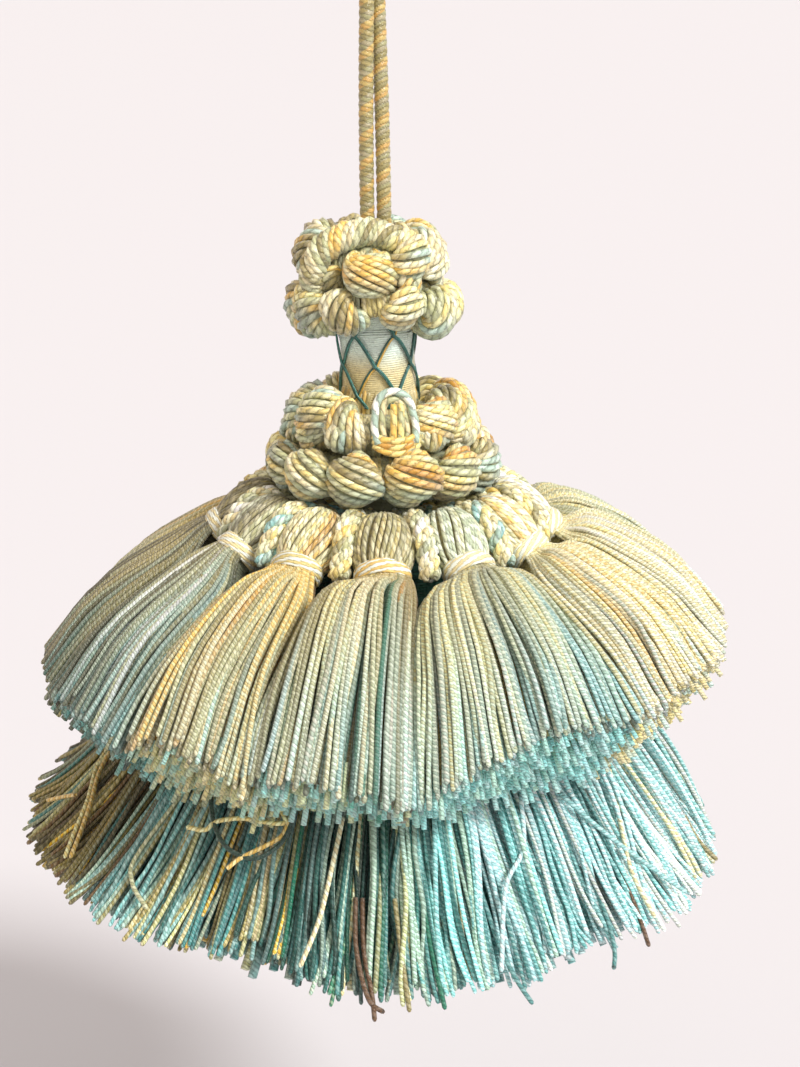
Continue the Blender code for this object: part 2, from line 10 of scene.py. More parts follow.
import bpy
import numpy as np
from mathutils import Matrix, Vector


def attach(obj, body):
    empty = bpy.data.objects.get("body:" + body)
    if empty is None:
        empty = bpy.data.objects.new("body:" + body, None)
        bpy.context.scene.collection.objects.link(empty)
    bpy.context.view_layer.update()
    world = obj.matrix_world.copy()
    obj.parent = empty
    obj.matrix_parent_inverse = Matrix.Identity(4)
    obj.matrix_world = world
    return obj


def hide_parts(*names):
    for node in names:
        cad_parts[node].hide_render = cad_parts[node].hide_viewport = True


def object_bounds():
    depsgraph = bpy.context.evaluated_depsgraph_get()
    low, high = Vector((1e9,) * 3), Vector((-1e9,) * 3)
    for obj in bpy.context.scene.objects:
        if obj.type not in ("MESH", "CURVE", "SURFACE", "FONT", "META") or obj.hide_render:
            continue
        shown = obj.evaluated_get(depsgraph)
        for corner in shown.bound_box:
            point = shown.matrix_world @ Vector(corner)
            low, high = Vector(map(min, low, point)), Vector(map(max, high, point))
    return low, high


bl_info = {
    "name": "Thread tassel",
    "version": (1, 0, 0),
    "blender": (4, 5, 0),
    "location": "View3D > Sidebar > Tassel",
    "description": "Dresses a packed tassel with yarn, threads, cords and a plain stage",
    "category": "Object",
}

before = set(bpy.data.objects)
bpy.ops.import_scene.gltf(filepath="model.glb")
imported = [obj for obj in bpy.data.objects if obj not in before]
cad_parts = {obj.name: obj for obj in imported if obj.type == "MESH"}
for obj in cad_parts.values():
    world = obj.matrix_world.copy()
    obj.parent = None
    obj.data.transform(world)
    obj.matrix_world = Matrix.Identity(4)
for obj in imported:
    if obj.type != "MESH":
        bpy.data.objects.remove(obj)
CAD_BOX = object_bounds()

MM = 0.001
AXIS = np.array((1.2, 0.0, -77.0))  # where the tassel's own zero stands below the cord's top
LEAN = -0.05
LEAN_FROM = 8.0
TUFTS = 12
BODY = "root"

GOLDEN = 0.6180339887
UP = np.array((0.0, 0.0, 1.0))
SEEDS = {"tuft": 500, "head": 900, "binding": 1300, "rope": 1700, "skirt": 2100, "core": 2500, "neck": 77}

# Colours of the dyed yarns in linear light
CREAM = (0.76, 0.66, 0.38)
SAGE = (0.49, 0.50, 0.27)
GREY_SAGE = (0.33, 0.36, 0.24)
GREY_BLUE = (0.23, 0.37, 0.35)
WHITE = (0.85, 0.88, 0.78)
GOLD = (0.76, 0.49, 0.11)
DEEP_GOLD = (0.55, 0.29, 0.05)
STRAW = (0.80, 0.66, 0.25)
OLIVE = (0.29, 0.245, 0.095)
DARK_OLIVE = (0.075, 0.066, 0.028)
BROWN = (0.13, 0.068, 0.030)
TEAL = (0.09, 0.27, 0.26)
DEEP_TEAL = (0.024, 0.105, 0.09)
AQUA = (0.27, 0.56, 0.55)
PALE_AQUA = (0.50, 0.76, 0.78)
MIST = (0.40, 0.53, 0.43)
KHAKI = (0.38, 0.31, 0.12)
OCHRE = (0.46, 0.32, 0.075)
EMERALD = (0.007, 0.16, 0.09)
DARK_GREEN = (0.010, 0.045, 0.030)


def dye(colour):
    """A colour, or a tuple of colours, as an array."""
    return np.asarray(colour, dtype=float)


def unit(vectors):
    """The same ways, each 1 long."""
    return vectors / np.maximum(np.linalg.norm(vectors, axis=-1, keepdims=True), 1e-12)


def outward(azimuth):
    """The level way out from the axis: the azimuth's sine, and its cosine towards the front."""
    azimuth = np.asarray(azimuth, dtype=float)
    return np.stack((np.sin(azimuth), -np.cos(azimuth), np.zeros_like(azimuth)), axis=-1)


def sideways(azimuth):
    """The level way along the ring, to the right as seen from outside at the front."""
    azimuth = np.asarray(azimuth, dtype=float)
    return np.stack((np.cos(azimuth), np.sin(azimuth), np.zeros_like(azimuth)), axis=-1)


def at(azimuth, radius, height, aside=0.0):
    """Radius along the outward way, aside along the ring, and height straight up."""
    azimuth, radius, height, aside = np.broadcast_arrays(azimuth, radius, height, aside)
    points = outward(azimuth) * radius[..., None] + sideways(azimuth) * aside[..., None]
    points[..., 2] += height
    return points


def eased(share):
    """3 s squared less 2 s cubed: 0 to 1 with a level start and end."""
    share = np.clip(share, 0.0, 1.0)
    return share * share * (3.0 - 2.0 * share)


def smooth_paths(knots, count):
    """Catmull-Rom curves through each row of knots, at evenly spaced knot numbers."""
    last = knots.shape[1] - 1
    place = np.linspace(0.0, last, count)
    first = np.minimum(place.astype(int), last - 1)
    t = (place - first)[None, :, None]
    before = 2.0 * knots[:, :1] - knots[:, 1:2]
    beyond = 2.0 * knots[:, -1:] - knots[:, -2:-1]
    padded = np.concatenate((before, knots, beyond), axis=1)
    a, b, c, d = (padded[:, first + k] for k in range(4))
    curve = 2.0 * b + (c - a) * t + (2.0 * a - 5.0 * b + 4.0 * c - d) * t**2
    return 0.5 * (curve + (3.0 * b - a - 3.0 * c + d) * t**3)


def runs(paths):
    """How far along its path each point lies."""
    steps = np.linalg.norm(np.diff(paths, axis=1), axis=-1)
    return np.concatenate((np.zeros((len(paths), 1)), np.cumsum(steps, axis=1)), axis=1)


def frames(paths, up):
    """The way ahead along each path, the way across it, and the way over it nearest to up."""
    ahead = unit(np.gradient(paths, axis=1))
    across = unit(np.cross(ahead, np.broadcast_to(up, paths.shape)))
    return ahead, across, np.cross(across, ahead)


def wound(paths, up, strands, offset, turns):
    """Strands in helices round each path: strand k stands at offset from it, at an angle that grows
    with the share of the path's length. Returns the strands' paths and the ways out from the path."""
    _, across, over = frames(paths, up)
    share = runs(paths)
    share = share / share[:, -1:]
    angle = math.tau * (np.arange(strands)[None, :, None] / strands + turns * share[:, None, :])
    out = np.cos(angle)[..., None] * over[:, None] + np.sin(angle)[..., None] * across[:, None]
    lines = paths[:, None] + out * np.broadcast_to(offset, share.shape)[:, None, :, None]
    shape = (-1, paths.shape[1], 3)
    return lines.reshape(shape), out.reshape(shape)


class Bundle:
    """Tubes and sheets that become one mesh, with two tints a point and a map along and around."""

    def __init__(self):
        self.points = []
        self.tints = []
        self.plies = []
        self.faces = []
        self.count = 0

    def put(self, points, tints, plies):
        first = self.count
        self.points.append(points.reshape(-1, 3))
        for store, tint in ((self.tints, tints), (self.plies, plies)):
            store.append(np.broadcast_to(tint, points.shape).reshape(-1, 3))
        self.count += points.size // 3
        return first

    def tubes(self, paths, radii, up, tint, ply=None, sides=5, rounded=False):
        """A ring of points round every path point, at a radius that may change along the path, joined
        ring to ring and closed at both ends. Tints are one a tube or one a path point. A rounded end
        has one ring more, just before the last, which is then half as wide."""
        tubes, rings = paths.shape[:2]
        radii = np.broadcast_to(radii, (tubes, rings))
        tint, ply = (self.spread(t, tubes, rings) for t in (tint, tint if ply is None else ply))
        if rounded:
            up = np.broadcast_to(up, paths.shape)
            up = np.concatenate((up, up[:, -1:]), axis=1)
            back = unit(paths[:, -2] - paths[:, -1]) * radii[:, -1:] * 0.9
            paths = np.concatenate((paths[:, :-1], (paths[:, -1] + back)[:, None], paths[:, -1:]), axis=1)
            radii = np.concatenate((radii, 0.5 * radii[:, -1:]), axis=1)
            tint, ply = (np.concatenate((t, t[:, -1:]), axis=1) for t in (tint, ply))
            rings += 1
        _, across, over = frames(paths, up)
        turn = math.tau * np.arange(sides) / sides
        round_it = np.cos(turn)[:, None] * over[:, :, None] + np.sin(turn)[:, None] * across[:, :, None]
        points = paths[:, :, None] + radii[:, :, None, None] * round_it
        number = self.put(points, tint, ply) + np.arange(tubes * rings * sides).reshape(tubes, rings, sides)
        ahead = np.roll(number, -1, axis=2)
        quads = np.stack((number[:, :-1], ahead[:, :-1], ahead[:, 1:], number[:, 1:]), axis=-1)
        own = (np.arange(tubes) * GOLDEN % 1.0)[:, None, None]
        along = np.broadcast_to(runs(paths)[:, :, None] * (0.75 + 0.5 * (own * 7.0 % 1.0)), number.shape)
        around = np.broadcast_to(np.arange(sides) / sides, number[:, :-1].shape) + own
        u = np.stack((along[:, :-1], along[:, :-1], along[:, 1:], along[:, 1:]), axis=-1)
        v = np.stack((around, around + 1.0 / sides, around + 1.0 / sides, around), axis=-1)
        self.faces.append((quads.reshape(-1, 4), np.stack((u, v), axis=-1).reshape(-1, 4, 2)))
        caps = np.concatenate((number[:, 0, ::-1], number[:, -1]))
        self.faces.append((caps, np.zeros((*caps.shape, 2))))

    def sheet(self, grid, tint, ply=None):
        """A surface over a grid of points that closes on itself along its second side and is closed
        by a flat face at each end."""
        rows, sides = grid.shape[:2]
        tint, ply = (np.broadcast_to(t, grid.shape) for t in (tint, tint if ply is None else ply))
        number = self.put(grid, tint, ply) + np.arange(rows * sides).reshape(rows, sides)
        ahead = np.roll(number, -1, axis=1)
        quads = np.stack((number[:-1], ahead[:-1], ahead[1:], number[1:]), axis=-1)
        along = np.broadcast_to(runs(grid.transpose(1, 0, 2)).T, number.shape)
        around = np.broadcast_to(np.arange(sides) / sides, number[:-1].shape)
        u = np.stack((along[:-1], along[:-1], along[1:], along[1:]), axis=-1)
        v = np.stack((around, around + 1.0 / sides, around + 1.0 / sides, around), axis=-1)
        self.faces.append((quads.reshape(-1, 4), np.stack((u, v), axis=-1).reshape(-1, 4, 2)))
        caps = np.stack((number[0, ::-1], number[-1]))
        self.faces.append((caps, np.zeros((*caps.shape, 2))))

    @staticmethod
    def spread(tint, tubes, rings):
        """A tint a tube, or a tint a path point, with a place for the ring's own points."""
        tint = np.asarray(tint, dtype=float)
        tint = tint[:, None] if tint.ndim == 2 else tint
        return np.broadcast_to(tint, (tubes, rings, 3))[:, :, None]

    def make(self, name, material, nodes):
        """Makes the piece, which rides on the body and stands for these nodes."""
        points = np.concatenate(self.points) + AXIS
        leaning = LEAN * np.maximum(0.0, points[:, 2] - AXIS[2] - LEAN_FROM)
        points[:, 0] += leaning
        mesh = bpy.data.meshes.new(name)
        mesh.vertices.add(len(points))
        mesh.vertices.foreach_set("co", (points * MM).astype(np.float32).ravel())
        corners = np.concatenate([faces.ravel() for faces, _ in self.faces])
        sizes = np.concatenate([np.full(len(faces), faces.shape[1]) for faces, _ in self.faces])
        mesh.loops.add(len(corners))
        mesh.loops.foreach_set("vertex_index", corners.astype(np.int32))
        mesh.polygons.add(len(sizes))
        starts = np.concatenate(([0], np.cumsum(sizes)[:-1]))
        mesh.polygons.foreach_set("loop_start", starts.astype(np.int32))
        layer = mesh.uv_layers.new(name="thread")
        maps = np.concatenate([uv.reshape(-1, 2) for _, uv in self.faces])
        layer.data.foreach_set("uv", maps.astype(np.float32).ravel())
        for label, tints in (("tint", self.tints), ("ply", self.plies)):
            attribute = mesh.color_attributes.new(label, "FLOAT_COLOR", "POINT")
            flat = np.concatenate(tints)
            flat = np.concatenate((flat, np.ones((len(flat), 1))), axis=1)
            attribute.data.foreach_set("color", flat.astype(np.float32).ravel())
        mesh.update()
        mesh.validate()
        mesh.shade_smooth()
        mesh.materials.append(material)
        piece = bpy.data.objects.new(name, mesh)
        bpy.context.scene.collection.objects.link(piece)
        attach(piece, BODY)
        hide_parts(*nodes)
        return piece


def mixed(rng, colours, weights, count, pull=0.32):
    """Picks one of these colours for each thread, pulls it towards their mean, and changes its
    lightness a little."""
    weights = np.asarray(weights, dtype=float) / np.sum(weights)
    colours = dye(colours)
    picked = colours[rng.choice(len(colours), size=count, p=weights)]
    picked = picked + pull * (weights @ colours - picked)
    return picked * rng.normal(1.0, 0.09, (count, 1)).clip(0.75, 1.3)


def vivid(tint):
    """The same colours further from grey, as on silk that was dyed twice."""
    grey = tint.mean(axis=-1, keepdims=True)
    return np.maximum(grey + 1.28 * (tint - grey), 0.004)


def painted_key_light(azimuth):
    """How much painted light the inner threads, cut ends and skirt core get: 0, but 1 on the front's right
    side, where the key light falls.
    """
    degrees = np.degrees(azimuth + math.pi) % 360.0 - 180.0
    return eased((degrees + 5.0) / 35.0) * eased((110.0 - degrees) / 30.0)


def painted_highlight_ply(tint):
    """The second ply: the same hue, mixed with grey and lighter, a painted highlight for the glints on the
    twist's crests.
    """
    grey = tint.mean(axis=-1, keepdims=True)
    return np.minimum(1.1 * tint + 0.45 * grey, 0.95)


# Tufts: sizes that the tufts, their heads and their bindings share

HEAD_POLE = (12.9, 6.0)  # radius and height of a head's upper end
HEAD_SLOPE = math.radians(36.7)  # how far a head's axis points below the horizon
HEAD_WIDE = 1.22
HEAD_OUTLINE = (
    # along the head, its radius, and how thick the yarns are there
    (0.2, 0.7, 0.7),
    (0.9, 1.9, 0.9),
    (2.2, 2.65, 1.1),
    (3.8, 2.95, 1.15),
    (5.4, 2.95, 1.15),
    (6.8, 2.7, 1.1),
    (7.8, 2.35, 1.0),
    (8.7, 2.1, 0.9),
    (9.6, 2.1, 0.9),
)
HEAD_YARNS = 40
HEAD_STEPS = 12
BINDING_TURNS = 7
BINDING_STEPS = 22
BINDING_AT = 8.75  # its middle, along the head
BINDING_LONG = 1.9
BINDING_RADIUS = 2.42
BINDING_THREAD = 0.2
WAIST_WIDE = 1.2
TUFT_FAN = (
    # along the head, half the width and half the depth, where the threads leave the waist
    (8.7, 2.3, 1.95),
    (10.6, 3.3, 2.45),
)
TUFT_EDGES = (
    # radius and height of the top and of the underside, and how far the sides are swung to their bounds
    ((26.8, 1.7), (23.8, -6.0), 0.7),
    ((36.0, -4.6), (29.6, -13.4), 0.93),
    ((42.6, -14.4), (34.6, -19.6), 1.0),
)
TUFT_BOUNDS = (5, 43, 76, 106, 136, 166, 196, 226, 258, 288, 317, 340)  # right side of each, degrees
TUFT_ROUNDING = 1.3  # how much lower a tuft's side edges end than its middle
TUFT_VALLEY = (2.4, 2.2, 0.9)  # how far a tuft's sides sink, from head to tips
TUFT_SAG_LEFT = 3.2  # how much lower the left tufts hang than the right ones
TUFT_DROP_FRONT = 1.6  # how much longer the front tuft's underside is
TIPS_RISE_RIGHT = 5.8
TIPS_RISE_LEFT = 4.6
TIPS_FALL_FRONT = 1.6


def head_frame(azimuth):
    """The upper end of a tuft's head, the way it points, and the way that is up across it."""
    ahead = outward(azimuth) * math.cos(HEAD_SLOPE) - UP * math.sin(HEAD_SLOPE)
    upward = outward(azimuth) * math.sin(HEAD_SLOPE) + UP * math.cos(HEAD_SLOPE)
    return at(azimuth, *HEAD_POLE), ahead, upward


def tuft_side(number, side, swung):
    """The azimuth of a tuft's left or right side: from halfway to the next head to its tips' bound."""
    right = number if side > 0 else number - 1
    even = math.tau * (right + 0.5) / TUFTS
    bound = math.radians(TUFT_BOUNDS[right % TUFTS]) - (math.tau if right < 0 else 0.0)
    return even + (bound - even) * swung


def tips_rise(azimuth):
    """How much higher the upper tips are than even ones: lower at the front, and higher at the sides."""
    side = np.sin(azimuth)
    right = TIPS_RISE_RIGHT * eased(2.0 * side)
    left = TIPS_RISE_LEFT * eased(-1.6 * side)
    return right + left - TIPS_FALL_FRONT


def tuft_paths(number, aside, down, count, long=0.0, start=0, drawn=0.0):
    """Threads of a tuft: from the waist, through the fan, over the shoulder and down to the tips.

    aside runs from -1 to 1 across the tuft and down from 0 to 1 through its depth. The side threads
    sink with the fourth power of aside. long is how far the tips reach on, start how many of the first
    knots are left out, and drawn how far the tips move aside."""
    azimuth = math.tau * number / TUFTS
    pole, ahead, upward = head_frame(azimuth)
    across = sideways(azimuth)
    lift = (1.0 - 2.0 * down) * np.sqrt(1.0 - 0.75 * aside**2)
    knots = []
    for along, wide, high in TUFT_FAN:
        middle = pole + ahead * along
        knots.append(middle + across * (wide * aside)[:, None] + upward * (high * lift)[:, None])
    for step, (top, under, swung) in enumerate(TUFT_EDGES):
        radius = top[0] + (under[0] - top[0]) * down
        height = top[1] + (under[1] - top[1]) * down
        grown = (step + 1) / len(TUFT_EDGES)
        place = aside + drawn * grown
        height = height - TUFT_ROUNDING * aside**2 * grown - TUFT_VALLEY[step] * aside**4 * (1.0 - down)
        height -= TUFT_SAG_LEFT * max(0.0, -math.sin(azimuth)) * min(1.0, 2.4 * grown)
        height -= TUFT_DROP_FRONT * max(0.0, math.cos(azimuth)) ** 3 * grown * down
        left = tuft_side(number, -1, swung)
        right = tuft_side(number, 1, swung)
        turn = left + (right - left) * 0.5 * (place + 1.0)
        height = height + tips_rise(turn) * (1.0 - down) * grown**2
        if step == len(TUFT_EDGES) - 1:
            radius = radius + 0.6 * long
            height = height - 0.8 * long
        knots.append(at(turn, radius, height, -0.25 * aside))
    return smooth_paths(np.stack(knots[start:], axis=1), count)


def tuft_tints(rng, number, aside, rings, tips, least=0.2):
    """Two tints a thread that change from left to right across a tuft and turn to the tips' colour.

    Each tuft's bands are (place across it, colours, weights); a thread takes the nearest band."""
    bands, tip, waist = TUFT_COLOURS[number]
    places = np.array([band[0] for band in bands])
    nearest = np.abs(aside[:, None] + rng.normal(0.0, 0.18, (len(aside), 1)) - places).argmin(axis=1)
    tint = np.zeros((len(aside), 3))
    ply = np.zeros((len(aside), 3))
    for k, (_, colours, weights) in enumerate(bands):
        chosen = nearest == k
        tint[chosen] = mixed(rng, colours, weights, chosen.sum(), 0.2)
        ply[chosen] = mixed(rng, colours, weights, chosen.sum())
    dark = tint.mean(axis=-1) < 0.13
    ply = 0.75 * painted_highlight_ply(tint) + 0.25 * np.where(dark[:, None], tint, ply)
    end = mixed(rng, tip, (1,) * len(tip), len(aside))
    along = eased((np.linspace(tips[0], 1.0, rings) - tips[1]) / (1.0 - tips[1]))[None, :, None]
    kept = np.where(dark, 0.3, 1.0)[:, None, None]
    amount = along * rng.uniform(least, 0.95, (len(aside), 1, 1)) * kept
    ends = (end, painted_highlight_ply(end))
    near = 0.7 * (1.0 - eased(np.linspace(0.0, 1.0, rings) / 0.62))[None, :, None] * (least < 0.5)
    lighter = 0.5 * (dye(waist) + painted_highlight_ply(dye(waist)))
    starts = (dye(waist), lighter)
    tint, ply = (t[:, None] * (1.0 - near) + w * near for t, w in zip((tint, ply), starts))
    return tuple(t * (1.0 - amount) + e[:, None] * amount for t, e in zip((tint, ply), ends))


GOLD_TUFT = (
    (
        (-0.9, (DEEP_GOLD, GOLD, STRAW, SAGE), (5, 6, 1, 1)),
        (-0.4, (STRAW, SAGE, GOLD, DEEP_GOLD), (2, 3, 5, 2)),
        (0.1, (SAGE, GOLD, CREAM, OLIVE), (3, 2, 1, 3)),
        (0.75, (GOLD, OLIVE, SAGE, STRAW), (3, 2, 3, 1)),
    ),
    (SAGE, CREAM, AQUA, MIST, GREY_SAGE),
    GOLD,
)
FRONT_TUFT = (
    (
        (-0.85, (OLIVE, GOLD, SAGE), (4, 2, 2)),
        (-0.35, (OLIVE, SAGE, STRAW, GREY_SAGE), (3, 3, 2, 2)),
        (0.1, (SAGE, CREAM, OLIVE), (3, 2, 2)),
        (0.42, (DARK_GREEN, EMERALD, OLIVE, SAGE), (4, 4, 1, 1)),
        (0.66, (SAGE, GREY_SAGE, CREAM), (3, 2, 1)),
        (0.92, (DEEP_GOLD, BROWN, OLIVE), (2, 2, 3)),
    ),
    (AQUA, AQUA, MIST, PALE_AQUA, SAGE),
    OCHRE,
)
SAGE_TUFT = (
    (
        (-0.85, (STRAW, GREY_SAGE, SAGE), (3, 3, 2)),
        (-0.3, (GREY_SAGE, SAGE, STRAW, CREAM), (2, 3, 2, 2)),
        (0.3, (GREY_SAGE, STRAW, GREY_BLUE, SAGE), (2, 2, 1, 3)),
        (0.85, (SAGE, AQUA, CREAM, GREY_BLUE), (3, 1, 3, 2)),
    ),
    (AQUA, PALE_AQUA, AQUA, AQUA),
    KHAKI,
)
STRAW_TUFT = (
    (
        (-0.85, (STRAW, CREAM, GREY_SAGE, WHITE), (2, 4, 2, 2)),
        (-0.2, (GOLD, STRAW, CREAM, WHITE), (2, 4, 4, 2)),
        (0.4, (GOLD, STRAW, CREAM, SAGE, WHITE), (1, 2, 4, 1, 4)),
        (0.9, (CREAM, WHITE, STRAW), (4, 3, 1)),
    ),
    (CREAM, STRAW, CREAM, PALE_AQUA),
    STRAW,
)
# Its dark olive and dark green threads are painted shade between the threads, and the white ones offset
# them in lightness.
BLUE_TUFT = (
    (
        (-0.7, (GREY_SAGE, OLIVE, KHAKI, DARK_OLIVE, CREAM), (2, 3, 2, 3, 2)),
        (0.0, (GREY_SAGE, SAGE, WHITE, OLIVE, DARK_OLIVE), (2, 2, 2, 2, 3)),
        (0.7, (GREY_BLUE, SAGE, MIST, DARK_GREEN, OLIVE), (2, 2, 2, 2, 2)),
    ),
    (TEAL, GREY_BLUE, DEEP_TEAL, AQUA),
    OLIVE,
)
# Its dark olive threads and dark olive waist are partly the yarns' colour and partly painted shade of the
# left side, away from the key light.
OLIVE_TUFT = (
    (
        (-0.6, (DARK_OLIVE, KHAKI, OLIVE, DEEP_GOLD), (3, 2, 2, 1)),
        (0.3, (OLIVE, KHAKI, DARK_OLIVE), (3, 2, 3)),
        (0.8, (GREY_SAGE, OLIVE, DARK_OLIVE), (2, 3, 1)),
    ),
    (TEAL, DEEP_TEAL, OLIVE),
    DARK_OLIVE,
)
TUFT_COLOURS = (
    FRONT_TUFT,
    SAGE_TUFT,
    STRAW_TUFT,
    STRAW_TUFT,
    SAGE_TUFT,
    BLUE_TUFT,
    GOLD_TUFT,
    SAGE_TUFT,
    GOLD_TUFT,
    OLIVE_TUFT,
    BLUE_TUFT,
    GOLD_TUFT,
)
TUFT_LAYERS = (
    # depth through the tuft, painted shade that darkens the deeper layers, path points and sides of the
    # threads, and share of crossing ones
    (0.0, 1.0, 15, 5, 0.12),
    (0.04, 0.85, 15, 5, 0.12),
    (0.085, 0.6, 11, 4, 0.0),
    (0.14, 0.4, 11, 4, 0.0),
)
THREAD_PITCH = 2.12  # distance of neighbouring threads at the tips, in their radii
THREADS_IN_LOCK = 3.6
LOCK_WAVE = 0.34  # how far a lock's slow waves swing
THREAD_WAVE = 0.24
STUB_ROWS = 14
STUB_MOST = 0.85  # the palest that a cut end may be
CORE_SHORTER = -1.2  # how far the core's tips reach on, so they end inside the threads'


def wave(rng, paths, amount, out, lock, most=1.4):
    """Moves the paths of each lock sideways and out by slow sines, growing from root to tip."""
    rings = paths.shape[1]
    count = int(lock.max()) + 1
    share = np.linspace(0.0, 1.0, rings)[None, :]
    ahead = unit(np.gradient(paths, axis=1))
    across = unit(np.cross(ahead, out))
    for way, part in ((across, 1.0), (out, 0.5)):
        phase = rng.uniform(0.0, math.tau, (count, 1))
        turns = rng.uniform(0.5, most, (count, 1))
        height = part * amount * rng.normal(0.0, 1.0, (count, 1))
        moved = height * share * np.sin(phase + math.tau * turns * share)
        paths = paths + way * moved[lock][..., None]
    return paths


def off_tuft(azimuth):
    """The way off a tuft's top."""
    return outward(azimuth) * 0.55 + UP * 0.83


def lay_tuft_layer(bundle, rng, number, thick, across, layer):
    """Threads side by side over a tuft. Locks of them close towards their middles by the tips, and a
    few cross their neighbours."""
    down, painted_shade, rings, sides, crossed = layer
    upward = off_tuft(math.tau * number / TUFTS)
    aside = np.linspace(-1.0, 1.0, across) + rng.normal(0.0, 0.75 / across, across)
    crossing = rng.random(across) < crossed
    deep = np.abs(down + rng.normal(0.0, 0.016, across)) - 0.02 * crossing
    long = rng.normal(0.0, 0.45, across) - (0.9 * rng.random(across)) * (rng.random(across) < 0.15)
    locks = across / THREADS_IN_LOCK
    place = (aside + 1.2) * 0.5 * locks + 0.5 * np.sin(5.0 * aside + number)
    lock = np.maximum(place, 0.0).astype(int)
    close = rng.uniform(0.05, 0.7, lock.max() + 1)[lock] * rng.uniform(0.5, 1.0, across)
    drawn = (0.5 - place % 1.0) * 2.0 / locks * close + rng.normal(0.0, 0.12, across) * crossing
    paths = tuft_paths(number, aside, deep, rings, long, drawn=drawn)
    out = np.broadcast_to(upward, paths.shape)
    paths = wave(rng, paths, LOCK_WAVE, out, lock)
    paths = wave(rng, paths, THREAD_WAVE, out, np.arange(across), 2.6)
    tint, ply = tuft_tints(rng, number, aside, rings, (0.0, 0.42))
    radii = thick * rng.uniform(0.86, 1.1, (across, 1)) * np.ones(rings)
    # painted shade: each deeper layer's tints are darkened by the layer's shade factor
    bundle.tubes(paths, radii, upward, tint * painted_shade, ply * painted_shade, sides=sides, rounded=True)


def lay_cut_ends(bundle, rng, number, thick, across):
    """The ends of the threads inside a tuft: rows of short stubs through its depth. They take the tips'
    colours, painted lighter by a random level as painted light against the shade among the stubs, and
    lighter still on the front's right side, at most STUB_MOST in their strongest channel."""
    azimuth = math.tau * number / TUFTS
    per_row = int(across * 0.9)
    count = STUB_ROWS * per_row
    aside = np.tile(np.linspace(-0.97, 0.97, per_row), STUB_ROWS) + rng.normal(0.0, 0.6 / per_row, count)
    down = np.repeat(np.linspace(0.12, 0.97, STUB_ROWS), per_row) + rng.normal(0.0, 0.02, count)
    long = rng.normal(0.3, 0.75, count)
    stubs = tuft_paths(number, aside, down, 7, long, start=3)[:, 4::2]
    tint, ply = tuft_tints(rng, number, aside, stubs.shape[1], (0.9, 0.1), least=0.75)
    tint = vivid(tint)
    # painted light: each stub is made 1.1 to 1.55 times lighter, and more on the front's right side
    level = rng.uniform(1.1, 1.55, (count, 1, 1)) * (1.0 + 0.15 * painted_key_light(azimuth))
    ends = (tint, 0.75 * tint + 0.25 * ply)
    most = [t.max(axis=-1, keepdims=True) * level / STUB_MOST for t in ends]
    tint, ply = (t * level / np.maximum(1.0, m) for t, m in zip(ends, most))
    bundle.tubes(stubs, 1.05 * thick, off_tuft(azimuth), tint, ply, sides=4)


def lay_tuft_core(bundle, number):
    """A closed body inside the threads, painted dark as the shade within the tuft: the paths of points all
    round the tuft's section.
    """
    rim = np.concatenate(
        (
            np.stack((np.linspace(-0.9, 0.9, 9), np.full(9, 0.1)), axis=1),
            np.stack((np.full(4, 0.9), np.linspace(0.3, 0.9, 4)), axis=1),
            np.stack((np.linspace(0.7, -0.7, 8), np.full(8, 0.93)), axis=1),
            np.stack((np.full(4, -0.9), np.linspace(0.9, 0.3, 4)), axis=1),
        )
    )
    core = tuft_paths(number, rim[:, 0], rim[:, 1], 10, CORE_SHORTER)
    # painted shade: the core takes the tuft's first colour darkened to 0.55
    dark = dye(TUFT_COLOURS[number][0][0][1][0]) * 0.55
    bundle.sheet(core.transpose(1, 0, 2), dark)


def make_tuft(number, sizes, material):
    """Layers of fine threads, the cut ends inside them and a closed core. As many threads stand side by
    side as fit along the arc of the tips."""
    rng = np.random.default_rng(SEEDS["tuft"] + number)
    bundle = Bundle()
    thick = 0.5 * sizes.thread_mm
    arc = (tuft_side(number, 1, 1.0) - tuft_side(number, -1, 1.0)) * TUFT_EDGES[2][0][0]
    across = int(arc / (THREAD_PITCH * thick))
    for layer in TUFT_LAYERS:
        lay_tuft_layer(bundle, rng, number, thick, across, layer)
    lay_cut_ends(bundle, rng, number, thick, across)
    lay_tuft_core(bundle, number)
    bundle.make(f"tuft_threads_{number:02d}", material, [f"tuft_{number:02d}"])


